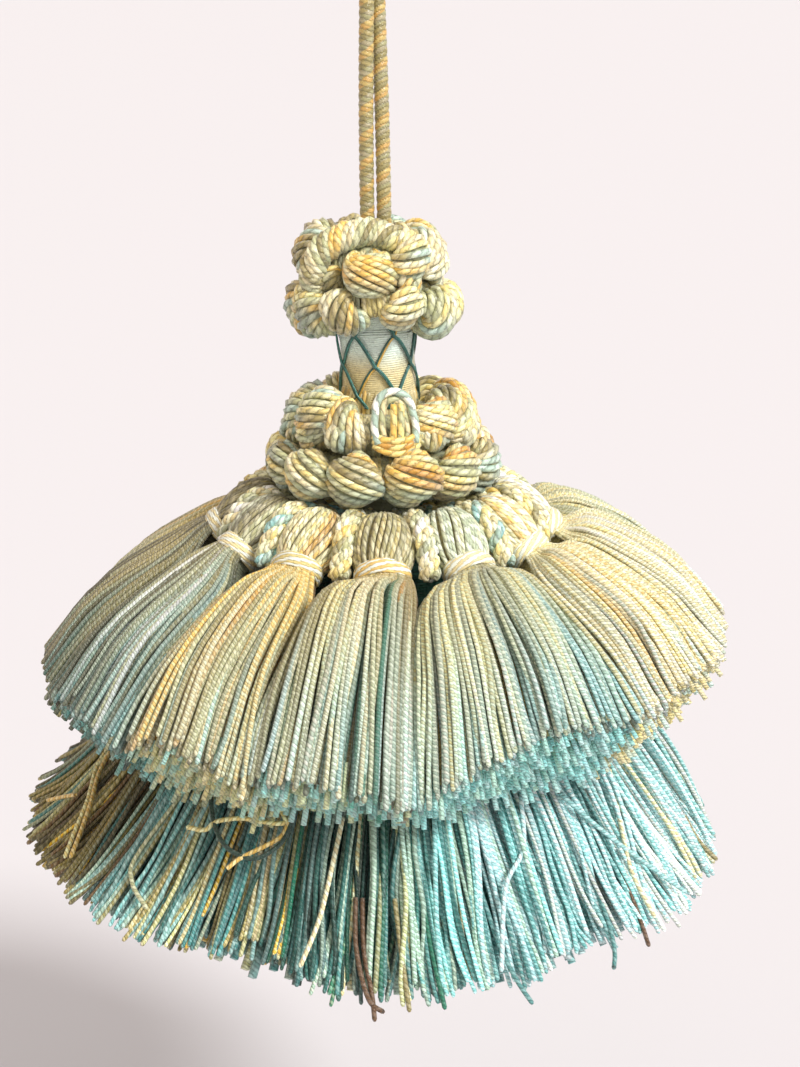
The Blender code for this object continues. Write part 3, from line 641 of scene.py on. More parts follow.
def make_head(number, material):
    """Yarns laid lengthwise over a tuft's head: a turned outline whose yarns lean round it a little."""
    rng = np.random.default_rng(SEEDS["head"] + number)
    azimuth = math.tau * number / TUFTS
    pole, ahead, upward = head_frame(azimuth)
    across = sideways(azimuth)
    along, radius, thick = np.array(HEAD_OUTLINE).T
    yarns = HEAD_YARNS
    start = math.tau * np.arange(yarns)[:, None] / yarns + rng.normal(0.0, 0.05, (yarns, 1))
    turn = start + (0.5 + 0.3 * math.sin(2.3 * number)) * (along / along[-1]) ** 1.5
    out = across * np.cos(turn)[..., None] * HEAD_WIDE + upward * np.sin(turn)[..., None]
    paths = pole + ahead * along[:, None] + out * radius[:, None]
    bundle = Bundle()
    band = TUFT_COLOURS[number][0]
    colours = band[1][1] + (CREAM, SAGE)
    tint = mixed(rng, colours, (3,) * len(band[1][1]) + (3, 3), yarns)
    if number == 0:  # the front one is duller, with two dark yarns
        tint = 0.45 * tint + 0.4 * dye(KHAKI)
        tint[20:22] = dye(DARK_GREEN)
    # painted highlight: the head at 30 degrees, towards the key light, is tinted half towards mist
    if number == 1:
        tint = 0.5 * tint + 0.5 * dye(MIST)
    ply = painted_highlight_ply(tint)
    fine = smooth_paths(paths, HEAD_STEPS)
    fine_out = smooth_paths(out, HEAD_STEPS)
    radii = 0.27 * np.interp(np.linspace(0, len(along) - 1, HEAD_STEPS), range(len(along)), thick)
    bundle.tubes(fine, radii, unit(fine_out), tint, ply)
    turns = math.tau * np.arange(20) / 20
    ring = across * np.cos(turns)[:, None] * HEAD_WIDE + upward * np.sin(turns)[:, None]
    core = pole + ahead * along[:, None, None] + ring * (0.93 * radius)[:, None, None]
    # painted shade: the core under the yarns is olive darkened to 0.8, the shade in the gaps between them
    bundle.sheet(core, dye(OLIVE) * 0.8)
    bundle.make(f"tuft_head_{number:02d}", material, [f"tuft_{number:02d}"])


def make_binding(number, material):
    """One thread wound in a close helix round a tuft's waist."""
    azimuth = math.tau * number / TUFTS
    pole, ahead, upward = head_frame(azimuth)
    across = sideways(azimuth)
    share = np.linspace(0.0, 1.0, BINDING_TURNS * BINDING_STEPS + 1)
    angle = math.tau * BINDING_TURNS * share + number
    along = BINDING_AT + BINDING_LONG * (share - 0.5)
    radius = BINDING_RADIUS + 0.24 * np.sin(math.pi * share) + 0.05 * np.sin(5.0 * angle)
    out = across * np.cos(angle)[:, None] * WAIST_WIDE + upward * np.sin(angle)[:, None]
    path = (pole + ahead * along[:, None] + out * radius[:, None])[None]
    bundle = Bundle()
    rng = np.random.default_rng(SEEDS["binding"] + number)
    tint = mixed(rng, (CREAM, STRAW, GOLD), (4, 1, 1), 1)
    # painted highlight: the thread's second ply is white
    bundle.tubes(path, BINDING_THREAD, out[None], tint * 1.1, dye(WHITE)[None])
    bundle.make(f"waist_binding_{number:02d}", material, [f"binding_{number:02d}"])


# Short ropes
ROPE_ROUTE = ((5.6, 3.6), (9.0, 4.2), (12.4, 5.4), (15.4, 6.0), (17.6, 4.9), (19.2, 2.6), (20.2, 0.6))
ROPE_STEPS = 42
ROPE_TURNS = 4.2  # of the strands round each other
ROPE_YARN_TURNS = -7.0  # of the yarns in a strand
ROPE_COLOURS = (
    ((GOLD, STRAW), (SAGE, CREAM), (OLIVE, SAGE)),
    ((CREAM, WHITE), (SAGE, GREY_SAGE), (STRAW, CREAM)),
    ((STRAW, CREAM), (MIST, AQUA), (CREAM, SAGE)),
)


def make_rope(number, sizes, material):
    """Three strands laid round each other, each of three yarns: a helix carried along a helix."""
    rng = np.random.default_rng(SEEDS["rope"] + number)
    azimuth = math.tau * (number - 0.5) / TUFTS
    route = np.array(ROPE_ROUTE)
    knots = at(azimuth, route[:, 0], route[:, 1], 0.3 * eased(np.linspace(0, 1, len(route))))
    path = smooth_paths(knots[None], ROPE_STEPS)
    up = outward(azimuth) * 0.4 + UP * 0.92
    thick = sizes.rope_mm
    strands, out = wound(path, up, 3, 0.29 * thick, ROPE_TURNS + 0.5 * math.sin(number))
    yarns, yarn_out = wound(strands, out, 3, 0.12 * thick, ROPE_YARN_TURNS)
    bundle = Bundle()
    colours = ROPE_COLOURS[number % 3]
    tint = np.concatenate([mixed(rng, pair, (1, 1), 3) for pair in colours])
    bundle.tubes(yarns, 0.165 * thick, yarn_out, tint, painted_highlight_ply(tint))
    bundle.make(f"tuft_rope_{number:02d}", material, [f"rope_{number:02d}"])


# Ruffs
RUFFS = {
    # loops, turn in spacings, the ring's inner and outer radius and the heights of its inner and outer
    # top and its bottom, the hinge's corner, reach, half width, rise, fall, lift at the front
    "ruff_top_upper": (9, 0.0, (4.2, 6.3, 36.2, 35.2, 32.3), 1, 3.7, 2.35, 0.34, 0.22, 0.0),
    "ruff_top_lower": (9, 0.5, (4.2, 7.0, 31.7, 31.5, 28.9), 2, 4.2, 2.45, 0.22, 0.5, 0.2),
    "ruff_low_upper": (12, 0.2, (5.15, 8.2, 16.1, 14.9, 12.2), 1, 4.1, 2.5, 0.34, 0.2, 1.1),
    "ruff_low_lower": (12, 0.7, (5.15, 10.7, 11.7, 11.3, 8.9), 2, 4.4, 2.7, 0.2, 0.62, 1.5),
}
LOOPS = {
    # loop number: roll in degrees, size, turn in degrees, lift, palette
    "ruff_top_upper": {
        0: (84, 1.0, -4, -1.7, "gold"),
        1: (38, 0.95, -2, 0.0, "sage"),
        2: (10, 1.0, -14, -0.2, "sage"),
        7: (6, 1.0, 6, -0.3, "sage"),
        8: (-16, 1.15, -8, 0.0, "sage"),
    },
    "ruff_top_lower": {
        0: (35, 0.78, 8, 1.0, "gold"),
        1: (-20, 1.0, 0, 0.0, "aqua"),
        7: (16, 1.0, 0, 0.2, "aqua"),
        8: (-30, 0.85, -8, 0.3, "sage"),
    },
    "ruff_low_upper": {
        1: (84, 1.0, 4, 0.0, "gold"),
        2: (14, 1.05, 4, -0.2, "sage"),
        10: (34, 1.05, 4, 0.2, "sage"),
        11: (-40, 0.95, 0, -0.4, "sage"),
        9: (10, 1.0, 0, -0.3, "aqua"),
    },
    "ruff_low_lower": {
        0: (62, 1.05, -3, 0.2, "gold"),
        1: (54, 1.0, -4, 0.3, "gold"),
        2: (40, 1.0, 0, 0.0, "aqua"),
        9: (50, 1.0, 0, 0.0, "aqua"),
        10: (70, 1.1, -4, 0.0, "aqua"),
        11: (64, 1.1, -5, 0.0, "sage"),
    },
}
UNDER_RING = ((5.4, 10.4), (8.9, 10.0), (9.3, 7.4), (5.4, 7.0))  # radius and height, under the low ruff
BETWEEN_ROWS = {"ruff_top_lower": 32.4, "ruff_low_lower": 13.2}  # height of the groove over these rows
CORD_FOOT = (7, 0.45, 2.9, 36.7, 0.0)  # small cords there: number, turn in spacings, radius, height, lift
LOOP_STEPS = 30
LOOP_ROOT = 0.84  # share of a ring's face that a loop's root takes
LOOP_ROOT_LIMIT = 2.9
LOOP_INSIDE = 0.35
LOOP_FOOT = 1.15  # half a loop's width at its roots
LOOP_SIDES = 12
FILL_STEPS = 20
FILL_BEND = 1.25  # radius of the small bent cords' middle line
OWN_LOOP = ((-30, 30), (0.94, 1.08), (-4, 4), (-0.3, 0.3))  # range of roll, size, turn and lift of others
OPEN_LOOP = ("ruff_low_upper", 0)
OPEN_OUT = 2.9  # how far in front of its hinge the open loop stands
OPEN_LEAN = 0.24  # how far it leans inward for each 1 of height
OPEN_ARCHES = (
    # half the width, yarn radius, tints and how far in front
    (2.2, 0.46, WHITE, MIST, 0.5),
    (1.3, 0.42, CREAM, SAGE, 0.05),
)
OPEN_LEG = 3.6
OPEN_STRANDS = ((-0.45, GOLD, STRAW), (0.42, STRAW, SAGE))  # aside and tints of the upright ones
OPEN_STRAND_TALL = 4.4
OPEN_BAND = (GOLD, DEEP_GOLD, GOLD)
OPEN_BAND_HALF = 2.7
OPEN_YARN = 0.42
ARCHED_OVER = ("ruff_top_upper", 8)
ARCH_ROUTE = (
    # aside, distance in front of the axis, and height
    (-6.3, 4.2, 30.2),
    (-7.1, 5.4, 33.2),
    (-5.7, 5.6, 36.0),
    (-3.0, 5.2, 37.7),
    (0.6, 4.6, 38.1),
    (3.6, 4.6, 36.9),
    (5.2, 4.4, 34.6),
)
ARCH_HALF = 1.75
ARCH_STEPS = 48
PALETTES = {
    "gold": (GOLD, GOLD, DEEP_GOLD, STRAW, CREAM, SAGE),
    "sage": (CREAM, SAGE, SAGE, GOLD, STRAW, CREAM, OLIVE, KHAKI, MIST),
    "aqua": (SAGE, CREAM, MIST, SAGE, GOLD, GREY_SAGE, KHAKI, STRAW),
}
YARN = 0.43  # radius of the yarns that the loops are twisted from
WRAP_PITCH = 0.56
WRAP_STEPS = 17


def loop_tints(rng, palette, strands, steps):
    """Each strand changes between two of the palette's colours along its length, as space-dyed silk."""
    colours = dye(PALETTES[palette])
    first, second = (colours[rng.integers(0, len(colours), strands)][:, None] for _ in range(2))
    along = np.linspace(0.0, 1.0, steps)[None, :, None]
    turns = rng.uniform(0.6, 1.7, (strands, 1, 1))
    phase = rng.uniform(0.0, math.tau, (strands, 1, 1))
    amount = eased(0.5 + 0.9 * np.sin(phase + math.tau * turns * along))
    tint = first + (second - first) * amount
    tint = tint * rng.normal(1.0, 0.08, (strands, 1, 1)).clip(0.8, 1.2)
    return tint, 0.35 * tint + 0.65 * painted_highlight_ply(tint)


def bobbin(bundle, rng, centre, away, side, half_deep, half_width, palette, more_twist=0.0):
    """A fat twisted cord: strands in helices round an ellipse carried along the middle line centre."""
    steps = len(centre)
    side = np.broadcast_to(side, away.shape)
    share = np.linspace(0.0, 1.0, steps)
    around = math.pi * (half_deep.max() + half_width.max() - 2.0 * YARN)  # an oval's girth, nearly
    twist = rng.uniform(1.1, 1.7) + more_twist
    length = runs(centre[None])[0, -1]
    slant = math.atan(around * twist / length)
    strands = int(round(around * math.cos(slant) / (1.5 * YARN)))
    turn = math.tau * (np.arange(strands)[:, None] / strands + twist * share) + rng.uniform(0.0, 6.0)
    turn = turn + rng.normal(0.0, 0.05, (strands, 1))
    proud = rng.normal(0.0, 0.10, (strands, 1))
    out = away * np.cos(turn)[..., None] * (half_deep - YARN + proud)[..., None]
    out = out - side * np.sin(turn)[..., None] * (half_width - YARN + proud)[..., None]
    # painted shade and painted teal bounce light: strands on a loop's underside, facing down, are tinted up
    # to halfway towards a dim grey blue
    under = 0.5 * eased(-1.2 * unit(out)[..., 2:])
    tint, ply = (t + under * (dye(GREY_BLUE) * 0.9 - t) for t in loop_tints(rng, palette, strands, steps))
    radii = YARN * rng.uniform(0.9, 1.12, (strands, 1)) * np.ones(steps)
    bundle.tubes(centre + out, radii, unit(out), tint, ply)
    ring = math.tau * np.arange(LOOP_SIDES)[:, None] / LOOP_SIDES
    deep, wide = (half[:, None, None] - 1.25 * YARN for half in (half_deep, half_width))
    core = centre[:, None] + away[:, None] * np.cos(ring) * deep - side[:, None] * np.sin(ring) * wide
    # painted shade: the core under the strands is sage darkened to 0.55, the shade in the gaps between them
    bundle.sheet(core, dye(SAGE) * 0.55)


def open_loop(bundle, azimuth, radius, foot):
    """A ring-like loop that stands up from its band: two arches, upright strands inside, and a band of
    three strands that bows outward under them."""
    bend = math.pi * np.linspace(0.0, 1.0, 15)
    legs = np.linspace(0.0, 3.51, 4)  # heights of the points below the arch
    for half, thick, tint, ply, front in OPEN_ARCHES:
        swell = 1.0 + 0.12 * np.sin(math.pi * legs / legs[-1])
        aside = np.concatenate((-half * swell, -half * np.cos(bend)[1:-1], half * swell[::-1]))
        over = foot + OPEN_LEG + 1.1 * half * np.sin(bend)[1:-1]
        height = np.concatenate((foot + legs, over, foot + legs[::-1]))
        lean = radius + front - OPEN_LEAN * (height - foot) + 0.4 * np.cos(aside / half * 1.5)
        path = smooth_paths(at(azimuth, lean, height, aside)[None], 40)
        bundle.tubes(path, thick, outward(azimuth), dye(tint)[None], dye(ply)[None], sides=8)
    share = np.linspace(0.0, 1.0, 12)
    for aside, tint, ply in OPEN_STRANDS:
        lean = radius + 0.45 - OPEN_LEAN * OPEN_STRAND_TALL * share + 0.35 * np.sin(math.pi * share)
        path = at(azimuth, lean, foot + OPEN_STRAND_TALL * share, aside + 0.5 * share)[None]
        bundle.tubes(path, OPEN_YARN, outward(azimuth), dye(tint)[None], dye(ply)[None], sides=8)
    band = np.linspace(-OPEN_BAND_HALF, OPEN_BAND_HALF, 17)
    for k, tint in enumerate(OPEN_BAND):
        height = foot - 1.1 + 0.74 * k + (0.9 - 0.2 * k) * (band / OPEN_BAND_HALF) ** 2
        bowed = radius + 1.1 - 0.9 * (band / OPEN_BAND_HALF) ** 2 - 0.12 * k
        path = at(azimuth, bowed, height, band)[None]
        bundle.tubes(path, OPEN_YARN, outward(azimuth), dye(tint)[None], dye(STRAW)[None], sides=8)


def arch_rope(bundle, rng):
    """A fat twisted cord that arches over the front of the top ruff, thinner towards its ends."""
    aside, front, height = np.array(ARCH_ROUTE).T
    knots = np.stack((aside, -front, height), axis=-1)
    centre = smooth_paths(knots[None], ARCH_STEPS)
    _, across, over = frames(centre, centre[0] * (0.6, 1.0, 0.0) + UP * 2.0)
    full = 0.62 + 0.38 * np.sin(math.pi * np.linspace(0.04, 0.96, ARCH_STEPS)) ** 0.5
    bobbin(bundle, rng, centre[0], over[0], across[0], ARCH_HALF * full, ARCH_HALF * full, "sage", 2.4)


def make_ruff(name, material):
    """Cord loops on a ring: each loop's middle line turns about its hinge, from one face of the ring
    to the next, and is rolled about the way outward. Rise and fall are the shares of its length over
    which it grows to its full reach and comes back."""
    loops, turned, ring, hinge_at, reach, half, rise, fall, lift = RUFFS[name]
    inner, outer, top_in, top_out, bottom = ring
    rng = np.random.default_rng(len(name) * 31 + int(10 * reach) + hinge_at)
    flatter = math.cos(math.pi / loops)
    corners = [(inner, top_in), (outer, top_out), (outer, bottom), (inner, bottom)]
    middles = [(radius * flatter, height) for radius, height in corners]
    before, hinge, after = middles[hinge_at - 1 : hinge_at + 2]
    first = math.atan2(before[1] - hinge[1], before[0] - hinge[0])
    last = math.atan2(after[1] - hinge[1], after[0] - hinge[0])
    last -= math.tau if last > 0 else 0.0
    roots = [LOOP_ROOT * min(math.dist(hinge, corner), LOOP_ROOT_LIMIT) for corner in (before, after)]
    share = np.linspace(0.0, 1.0, LOOP_STEPS)
    bundle = Bundle()
    for loop in range(loops):
        own = tuple(rng.uniform(*ends) for ends in OWN_LOOP)
        palette = ("sage", "gold", "aqua", "sage")[int(rng.integers(4))]
        roll, size, turn, high, palette = LOOPS[name].get(loop, (*own, palette))
        azimuth = (loop + turned) * math.tau / loops + math.radians(turn)
        if (name, loop) == ARCHED_OVER:
            arch_rope(bundle, rng)
            continue
        if (name, loop) == OPEN_LOOP:
            open_loop(bundle, azimuth, hinge[0] + OPEN_OUT, hinge[1] - 0.5)
            continue
        roll = math.radians(roll)
        full = eased(share / rise) * eased((1.0 - share) / fall)
        angle = first + (last - first) * share
        far = roots[0] + (roots[1] - roots[0]) * share
        far = far + (reach * size - far) * full
        up = UP * math.cos(roll) + sideways(azimuth) * math.sin(roll)
        side = sideways(azimuth) * math.cos(roll) - UP * math.sin(roll)
        away = outward(azimuth) * np.cos(angle)[:, None] + up * np.sin(angle)[:, None]
        centre = at(azimuth, *hinge) + away * (0.5 * (far + LOOP_INSIDE))[:, None]
        centre[:, 2] += (lift * 0.5 * (1.0 + math.cos(azimuth)) + high) * full
        half_width = LOOP_FOOT + (half * 1.08 * size - LOOP_FOOT) * full
        twist = -0.8 if roll > 1.3 else 0.0  # loops that lie on their side are twisted less
        bobbin(bundle, rng, centre, away, side, 0.52 * (far - 0.3), half_width, palette, twist)
    if name in BETWEEN_ROWS:
        fill_loops(bundle, rng, loops, turned, outer * flatter - 0.4, BETWEEN_ROWS[name], lift)
    if name == "ruff_top_upper":
        fill_loops(bundle, rng, *CORD_FOOT, front=True)
    wrapped_ring(bundle, rng, corners, (SAGE, CREAM, GREY_SAGE, STRAW))
    if name == "ruff_low_lower":
        # partly the neck's teal, partly painted shade: the ring under the low ruff is wrapped in dark teal
        # and grey blue yarns
        wrapped_ring(bundle, rng, UNDER_RING, (TEAL, GREY_BLUE, DEEP_TEAL, GREY_SAGE))
    bundle.make(name + "_loops", material, [name])


def wrapped_ring(bundle, rng, corners, colours):
    """Yarns side by side round the ring's section, each a closed oval through the section's corners."""
    outer = corners[1][0]
    yarns = int(math.tau * outer / WRAP_PITCH)
    azimuth = math.tau * np.arange(yarns) / yarns + rng.normal(0.0, 0.012, yarns)
    order = (0, 1, 2, 3, 0)
    knots = np.array([corners[k] for k in order], dtype=float)
    knots[:, 0] -= 0.1
    oval = smooth_paths(np.concatenate((knots, knots[1:2]))[None], WRAP_STEPS)[0]
    shift = 0.012 * rng.normal(0.0, 1.0, (yarns, 1)) + np.linspace(0.0, 0.05, WRAP_STEPS)
    paths = at(azimuth[:, None] + shift, oval[:, 0], oval[:, 1])
    tint = mixed(rng, colours, (4, 2, 3, 1), yarns)
    middle = knots[:4].mean(axis=0)
    out = paths - at(azimuth, middle[0], middle[1])[:, None]
    bundle.tubes(paths, 0.34, unit(out), tint, tint * 0.8)


def fill_loops(bundle, rng, loops, turned, radius, height, lift, front=False):
    """Small bent cords that fill the groove between two rows: half rings that lie on the ring."""
    share = np.linspace(0.0, 1.0, FILL_STEPS)
    for loop in range(loops):
        azimuth = (loop + turned + 0.5 + rng.uniform(-0.1, 0.1)) * math.tau / loops
        if math.cos(azimuth) > 0.95 and not front:
            continue
        roll = rng.uniform(-0.9, 0.9)
        up = UP * math.cos(roll) + sideways(azimuth) * math.sin(roll)
        side = sideways(azimuth) * math.cos(roll) - UP * math.sin(roll)
        angle = math.pi * (0.5 - share)
        away = outward(azimuth) * np.cos(angle)[:, None] + up * np.sin(angle)[:, None]
        raised = height + lift * 0.5 * (1.0 + math.cos(azimuth))
        centre = at(azimuth, radius, raised) + away * FILL_BEND
        size = 0.6 + 0.4 * np.sin(math.pi * share)
        palette = ("sage", "gold", "aqua")[int(rng.integers(3))]
        bobbin(bundle, rng, centre, away, side, FILL_BEND * size, 1.75 * size, palette)


# Neck and its net
NECK_OUTLINE = (
    # radius and height
    *((0.4, 1.7), (4.7, 1.75), (4.3, 2.4), (4.3, 25.4)),
    *((3.9, 26.3), (3.55, 26.5), (3.5, 36.0), (0.4, 36.3)),
)
NECK_SIDES = 40
NECK_WRAPS = 44
WRAP_SIDES = 32
WOUND_FROM = 16.8
WOUND_RISE = 11.6
WOUND_RADIUS = 4.36
SPIGOT_AT = 25.6  # height at which the neck narrows to its spigot
FLOSS = 0.16
FOOT_YARNS = 42
FOOT_LEVELS = (9.0, 19.4)
NET_MESHES = 6
NET_CROSSING = 22.0  # height at which the threads cross at the front
NET_RISE = 3.7
NET_LEVELS = (17.0, 27.9)
NET_RADIUS = 4.72
NET_TURNED = math.radians(2.4)
NET_PAIR = 0.13  # how far each thread of a pair stands from the pair's middle
NET_THREAD = 0.14


def make_neck(material):
    """Floss wound round the neck in one close helix, over a turned core, with a few upright yarns at
    its foot and round the spigot."""
    bundle = Bundle()
    turns = math.tau * np.arange(NECK_SIDES) / NECK_SIDES
    rings = [at(turns, radius, height) for radius, height in NECK_OUTLINE]
    # painted shade: the core under the floss is sage darkened to 0.6, the shade between the wraps
    bundle.sheet(np.stack(rings), dye(SAGE) * 0.6)
    share = np.linspace(0.0, 1.0, NECK_WRAPS * WRAP_SIDES + 1)
    angle = math.tau * NECK_WRAPS * share
    height = WOUND_FROM + WOUND_RISE * share + 0.06 * np.sin(3.0 * angle + 9.0 * share)
    around = WOUND_RADIUS - 0.5 * eased((height - SPIGOT_AT) / 1.2) + 0.05 * np.sin(2.0 * angle)
    helix = at(angle, around, height)[None]
    pale = dye(WHITE) * 0.75 + dye(AQUA) * 0.3
    warm = dye(CREAM) * 0.8 + dye(OLIVE) * 0.4
    fade = eased((share - 0.35) / 0.3)[None, :, None]
    bundle.tubes(helix, FLOSS, outward(angle)[None], warm * (1 - fade) + pale * fade)
    rng = np.random.default_rng(SEEDS["neck"])
    azimuth = math.tau * np.arange(FOOT_YARNS) / FOOT_YARNS + rng.normal(0, 0.02, FOOT_YARNS)
    levels = np.linspace(*FOOT_LEVELS, 9)
    paths = at(azimuth[:, None] + 0.02 * (levels - levels[0]), 4.5 + 0.08 * np.sin(levels), levels)
    paths[:, -1] -= outward(azimuth) * 0.5
    tint = mixed(rng, (CREAM, OLIVE, GOLD), (3, 2, 1), FOOT_YARNS)
    bundle.tubes(paths, 0.33, outward(azimuth)[:, None], tint)
    bundle.make("neck_floss_winding", material, ["neck"])


def make_net(material):
    """Pairs of fine threads that cross over the neck in diamonds."""
    bundle = Bundle()
    levels = np.linspace(*NET_LEVELS, 41)
    down = (NET_CROSSING - levels) / NET_RISE
    swing = np.floor(down) + (down - np.floor(down)) ** 0.7
    start = math.tau * np.arange(NET_MESHES)[:, None] / NET_MESHES - NET_TURNED
    for way in (-1, 1):
        for pair in (-NET_PAIR, NET_PAIR):
            azimuth = start + way * math.pi / NET_MESHES * swing + pair / 5.0
            paths = at(azimuth, NET_RADIUS + 0.1 * way, levels)
            # painted highlight: one thread of each pair is twice as light as the other
            tint = np.tile(dye(DEEP_TEAL), (NET_MESHES, 1)) * (1.0 if pair < 0 else 2.0)
            if way < 0 and pair > 0:
                tint[0] = dye(GOLD)
            bundle.tubes(paths, NET_THREAD, outward(azimuth), tint)
    bundle.make("neck_net_threads", material, ["neck_net"])


# Skirt: radius and height of the points that draw its outside's and its inside's curve
SKIRT_OUTSIDE = ((9.6, -2.6), (18.0, -5.0), (32.0, -27.5), (43.6, -39.6))
SKIRT_INSIDE = ((1.0, -2.6), (1.4, -16.0), (3.0, -30.0), (4.0, -43.5))
SKIRT_FLARE_LEFT = 2.2  # how much further the left side reaches than the front
SKIRT_FLARE_RIGHT = -0.8
SKIRT_LIFT_LEFT = 4.5  # how much higher the left side's hem hangs than the front's
SKIRT_LAYERS = (
    # depth from the outside to the inside, painted shade that darkens the deeper layers, and sides of the
    # threads
    (0.0, 0.0, 5),
    (0.022, 0.33, 5),
    (0.05, 0.58, 4),
)
SKIRT_BRIGHT = 1.08
SKIRT_START = 0.36  # share of the slope at which the threads start, under the tufts
SKIRT_STEPS = 14
SKIRT_LOCKS = 96
SKIRT_PITCH = 1.9  # distance of neighbouring threads at the hem, in their radii
HEM_RADIUS = 43.6
CORE_SIDES = 120
CORE_DEPTH = 0.075
CORE_END = 0.955
CORE_STUB_RINGS = 26
CORE_STUB_GAP = 1.45
CORE_STUB_RADIUS = 0.55
HEM_NOTCHES = (
    # azimuth and half width in degrees, and how much shorter the threads are there, as a share
    (-20.0, 9.0, 0.068),
    (34.0, 13.0, 0.046),
    (118.0, 14.0, 0.05),
    (-135.0, 16.0, 0.04),
)
SKIRT_BANDS = (
    # from this azimuth on, in degrees: the strands' colours and their weights
    (-180, (TEAL, DEEP_TEAL, SAGE, AQUA), (3, 3, 2, 2)),
    # The dark olive and brown strands from -120 to -54 degrees are partly the threads' colour and partly
    # painted shade of the left side, away from the key light.
    (-120, (DARK_OLIVE, TEAL, OLIVE, GREY_SAGE), (3, 2, 3, 1)),
    (-80, (DARK_OLIVE, BROWN, OLIVE, SAGE, GOLD), (3, 2, 5, 2, 1)),
    (-54, (GREY_BLUE, OLIVE, MIST, TEAL), (3, 2, 2, 1)),
    (-46, (GREY_BLUE, AQUA, MIST, DEEP_TEAL), (4, 2, 2, 1)),
    (-38, (CREAM, GOLD, OLIVE, SAGE), (2, 1, 2, 3)),
    (-32, (TEAL, GREY_BLUE, AQUA, DEEP_TEAL), (3, 4, 2, 1)),
    (-24, (SAGE, CREAM, GOLD, OLIVE, MIST), (3, 2, 1, 2, 3)),
    (-17, (DARK_GREEN, DEEP_TEAL, EMERALD, GREY_BLUE, TEAL), (4, 4, 2, 3, 2)),
    (-8, (DARK_GREEN, TEAL, MIST, DEEP_TEAL, CREAM), (2, 3, 3, 2, 1)),
    (-2, (MIST, CREAM, EMERALD, TEAL, SAGE), (4, 2, 1, 2, 1)),
    (4, (MIST, EMERALD, AQUA, TEAL, CREAM), (3, 1, 3, 3, 1)),
    (12, (AQUA, TEAL, MIST, PALE_AQUA), (5, 3, 1, 3)),
    (24, (AQUA, PALE_AQUA, TEAL, WHITE), (4, 6, 2, 2)),
    (44, (AQUA, PALE_AQUA, TEAL, WHITE), (3, 7, 1, 3)),
    (62, (AQUA, SAGE, PALE_AQUA, CREAM, WHITE), (3, 1, 5, 1, 2)),
    (90, (GREY_SAGE, OLIVE, AQUA, TEAL), (3, 2, 2, 3)),
    (130, (AQUA, TEAL, SAGE, DEEP_TEAL), (3, 3, 2, 2)),
)


def skirt_points(azimuth, share, fraction):
    """Points of the skirt: a cubic curve between the outside's and the inside's by fraction, turned to
    the azimuth, with the left side further out and higher towards the hem."""
    azimuth, share, fraction = np.broadcast_arrays(azimuth, share, fraction)
    outside = np.array(SKIRT_OUTSIDE)
    inside = np.array(SKIRT_INSIDE)
    knots = outside + (inside - outside) * fraction[..., None, None]
    back = 1.0 - share
    weights = np.stack((back**3, 3 * back**2 * share, 3 * back * share**2, share**3), axis=-1)
    curve = (knots * weights[..., None]).sum(axis=-2)
    left = -np.sin(azimuth) * share**4 * (1.0 - fraction)
    radius = curve[..., 0] + np.where(left > 0, SKIRT_FLARE_LEFT, -SKIRT_FLARE_RIGHT) * left
    height = curve[..., 1] + SKIRT_LIFT_LEFT * np.maximum(left, 0.0)
    return at(azimuth, radius, height)


def off_skirt(azimuth):
    """The way off the skirt's slope."""
    return outward(azimuth) * 0.75 + UP * 0.66


def skirt_tints(rng, azimuth):
    """Two tints a thread, picked from the band of colours at its azimuth."""
    degrees = (np.degrees(azimuth) + rng.normal(0.0, 4.2, len(azimuth)) + 180.0) % 360.0 - 180.0
    starts = np.array([band[0] for band in SKIRT_BANDS])
    band = np.searchsorted(starts, degrees, side="right") - 1
    tint = np.zeros((len(azimuth), 3))
    ply = np.zeros((len(azimuth), 3))
    for k, (_, colours, weights) in enumerate(SKIRT_BANDS):
        chosen = band == k
        tint[chosen] = mixed(rng, colours, weights, chosen.sum(), 0.15)
        ply[chosen] = mixed(rng, colours, weights, chosen.sum())
    tint = vivid(tint)
    return tint, 0.25 * ply + 0.85 * painted_highlight_ply(tint)


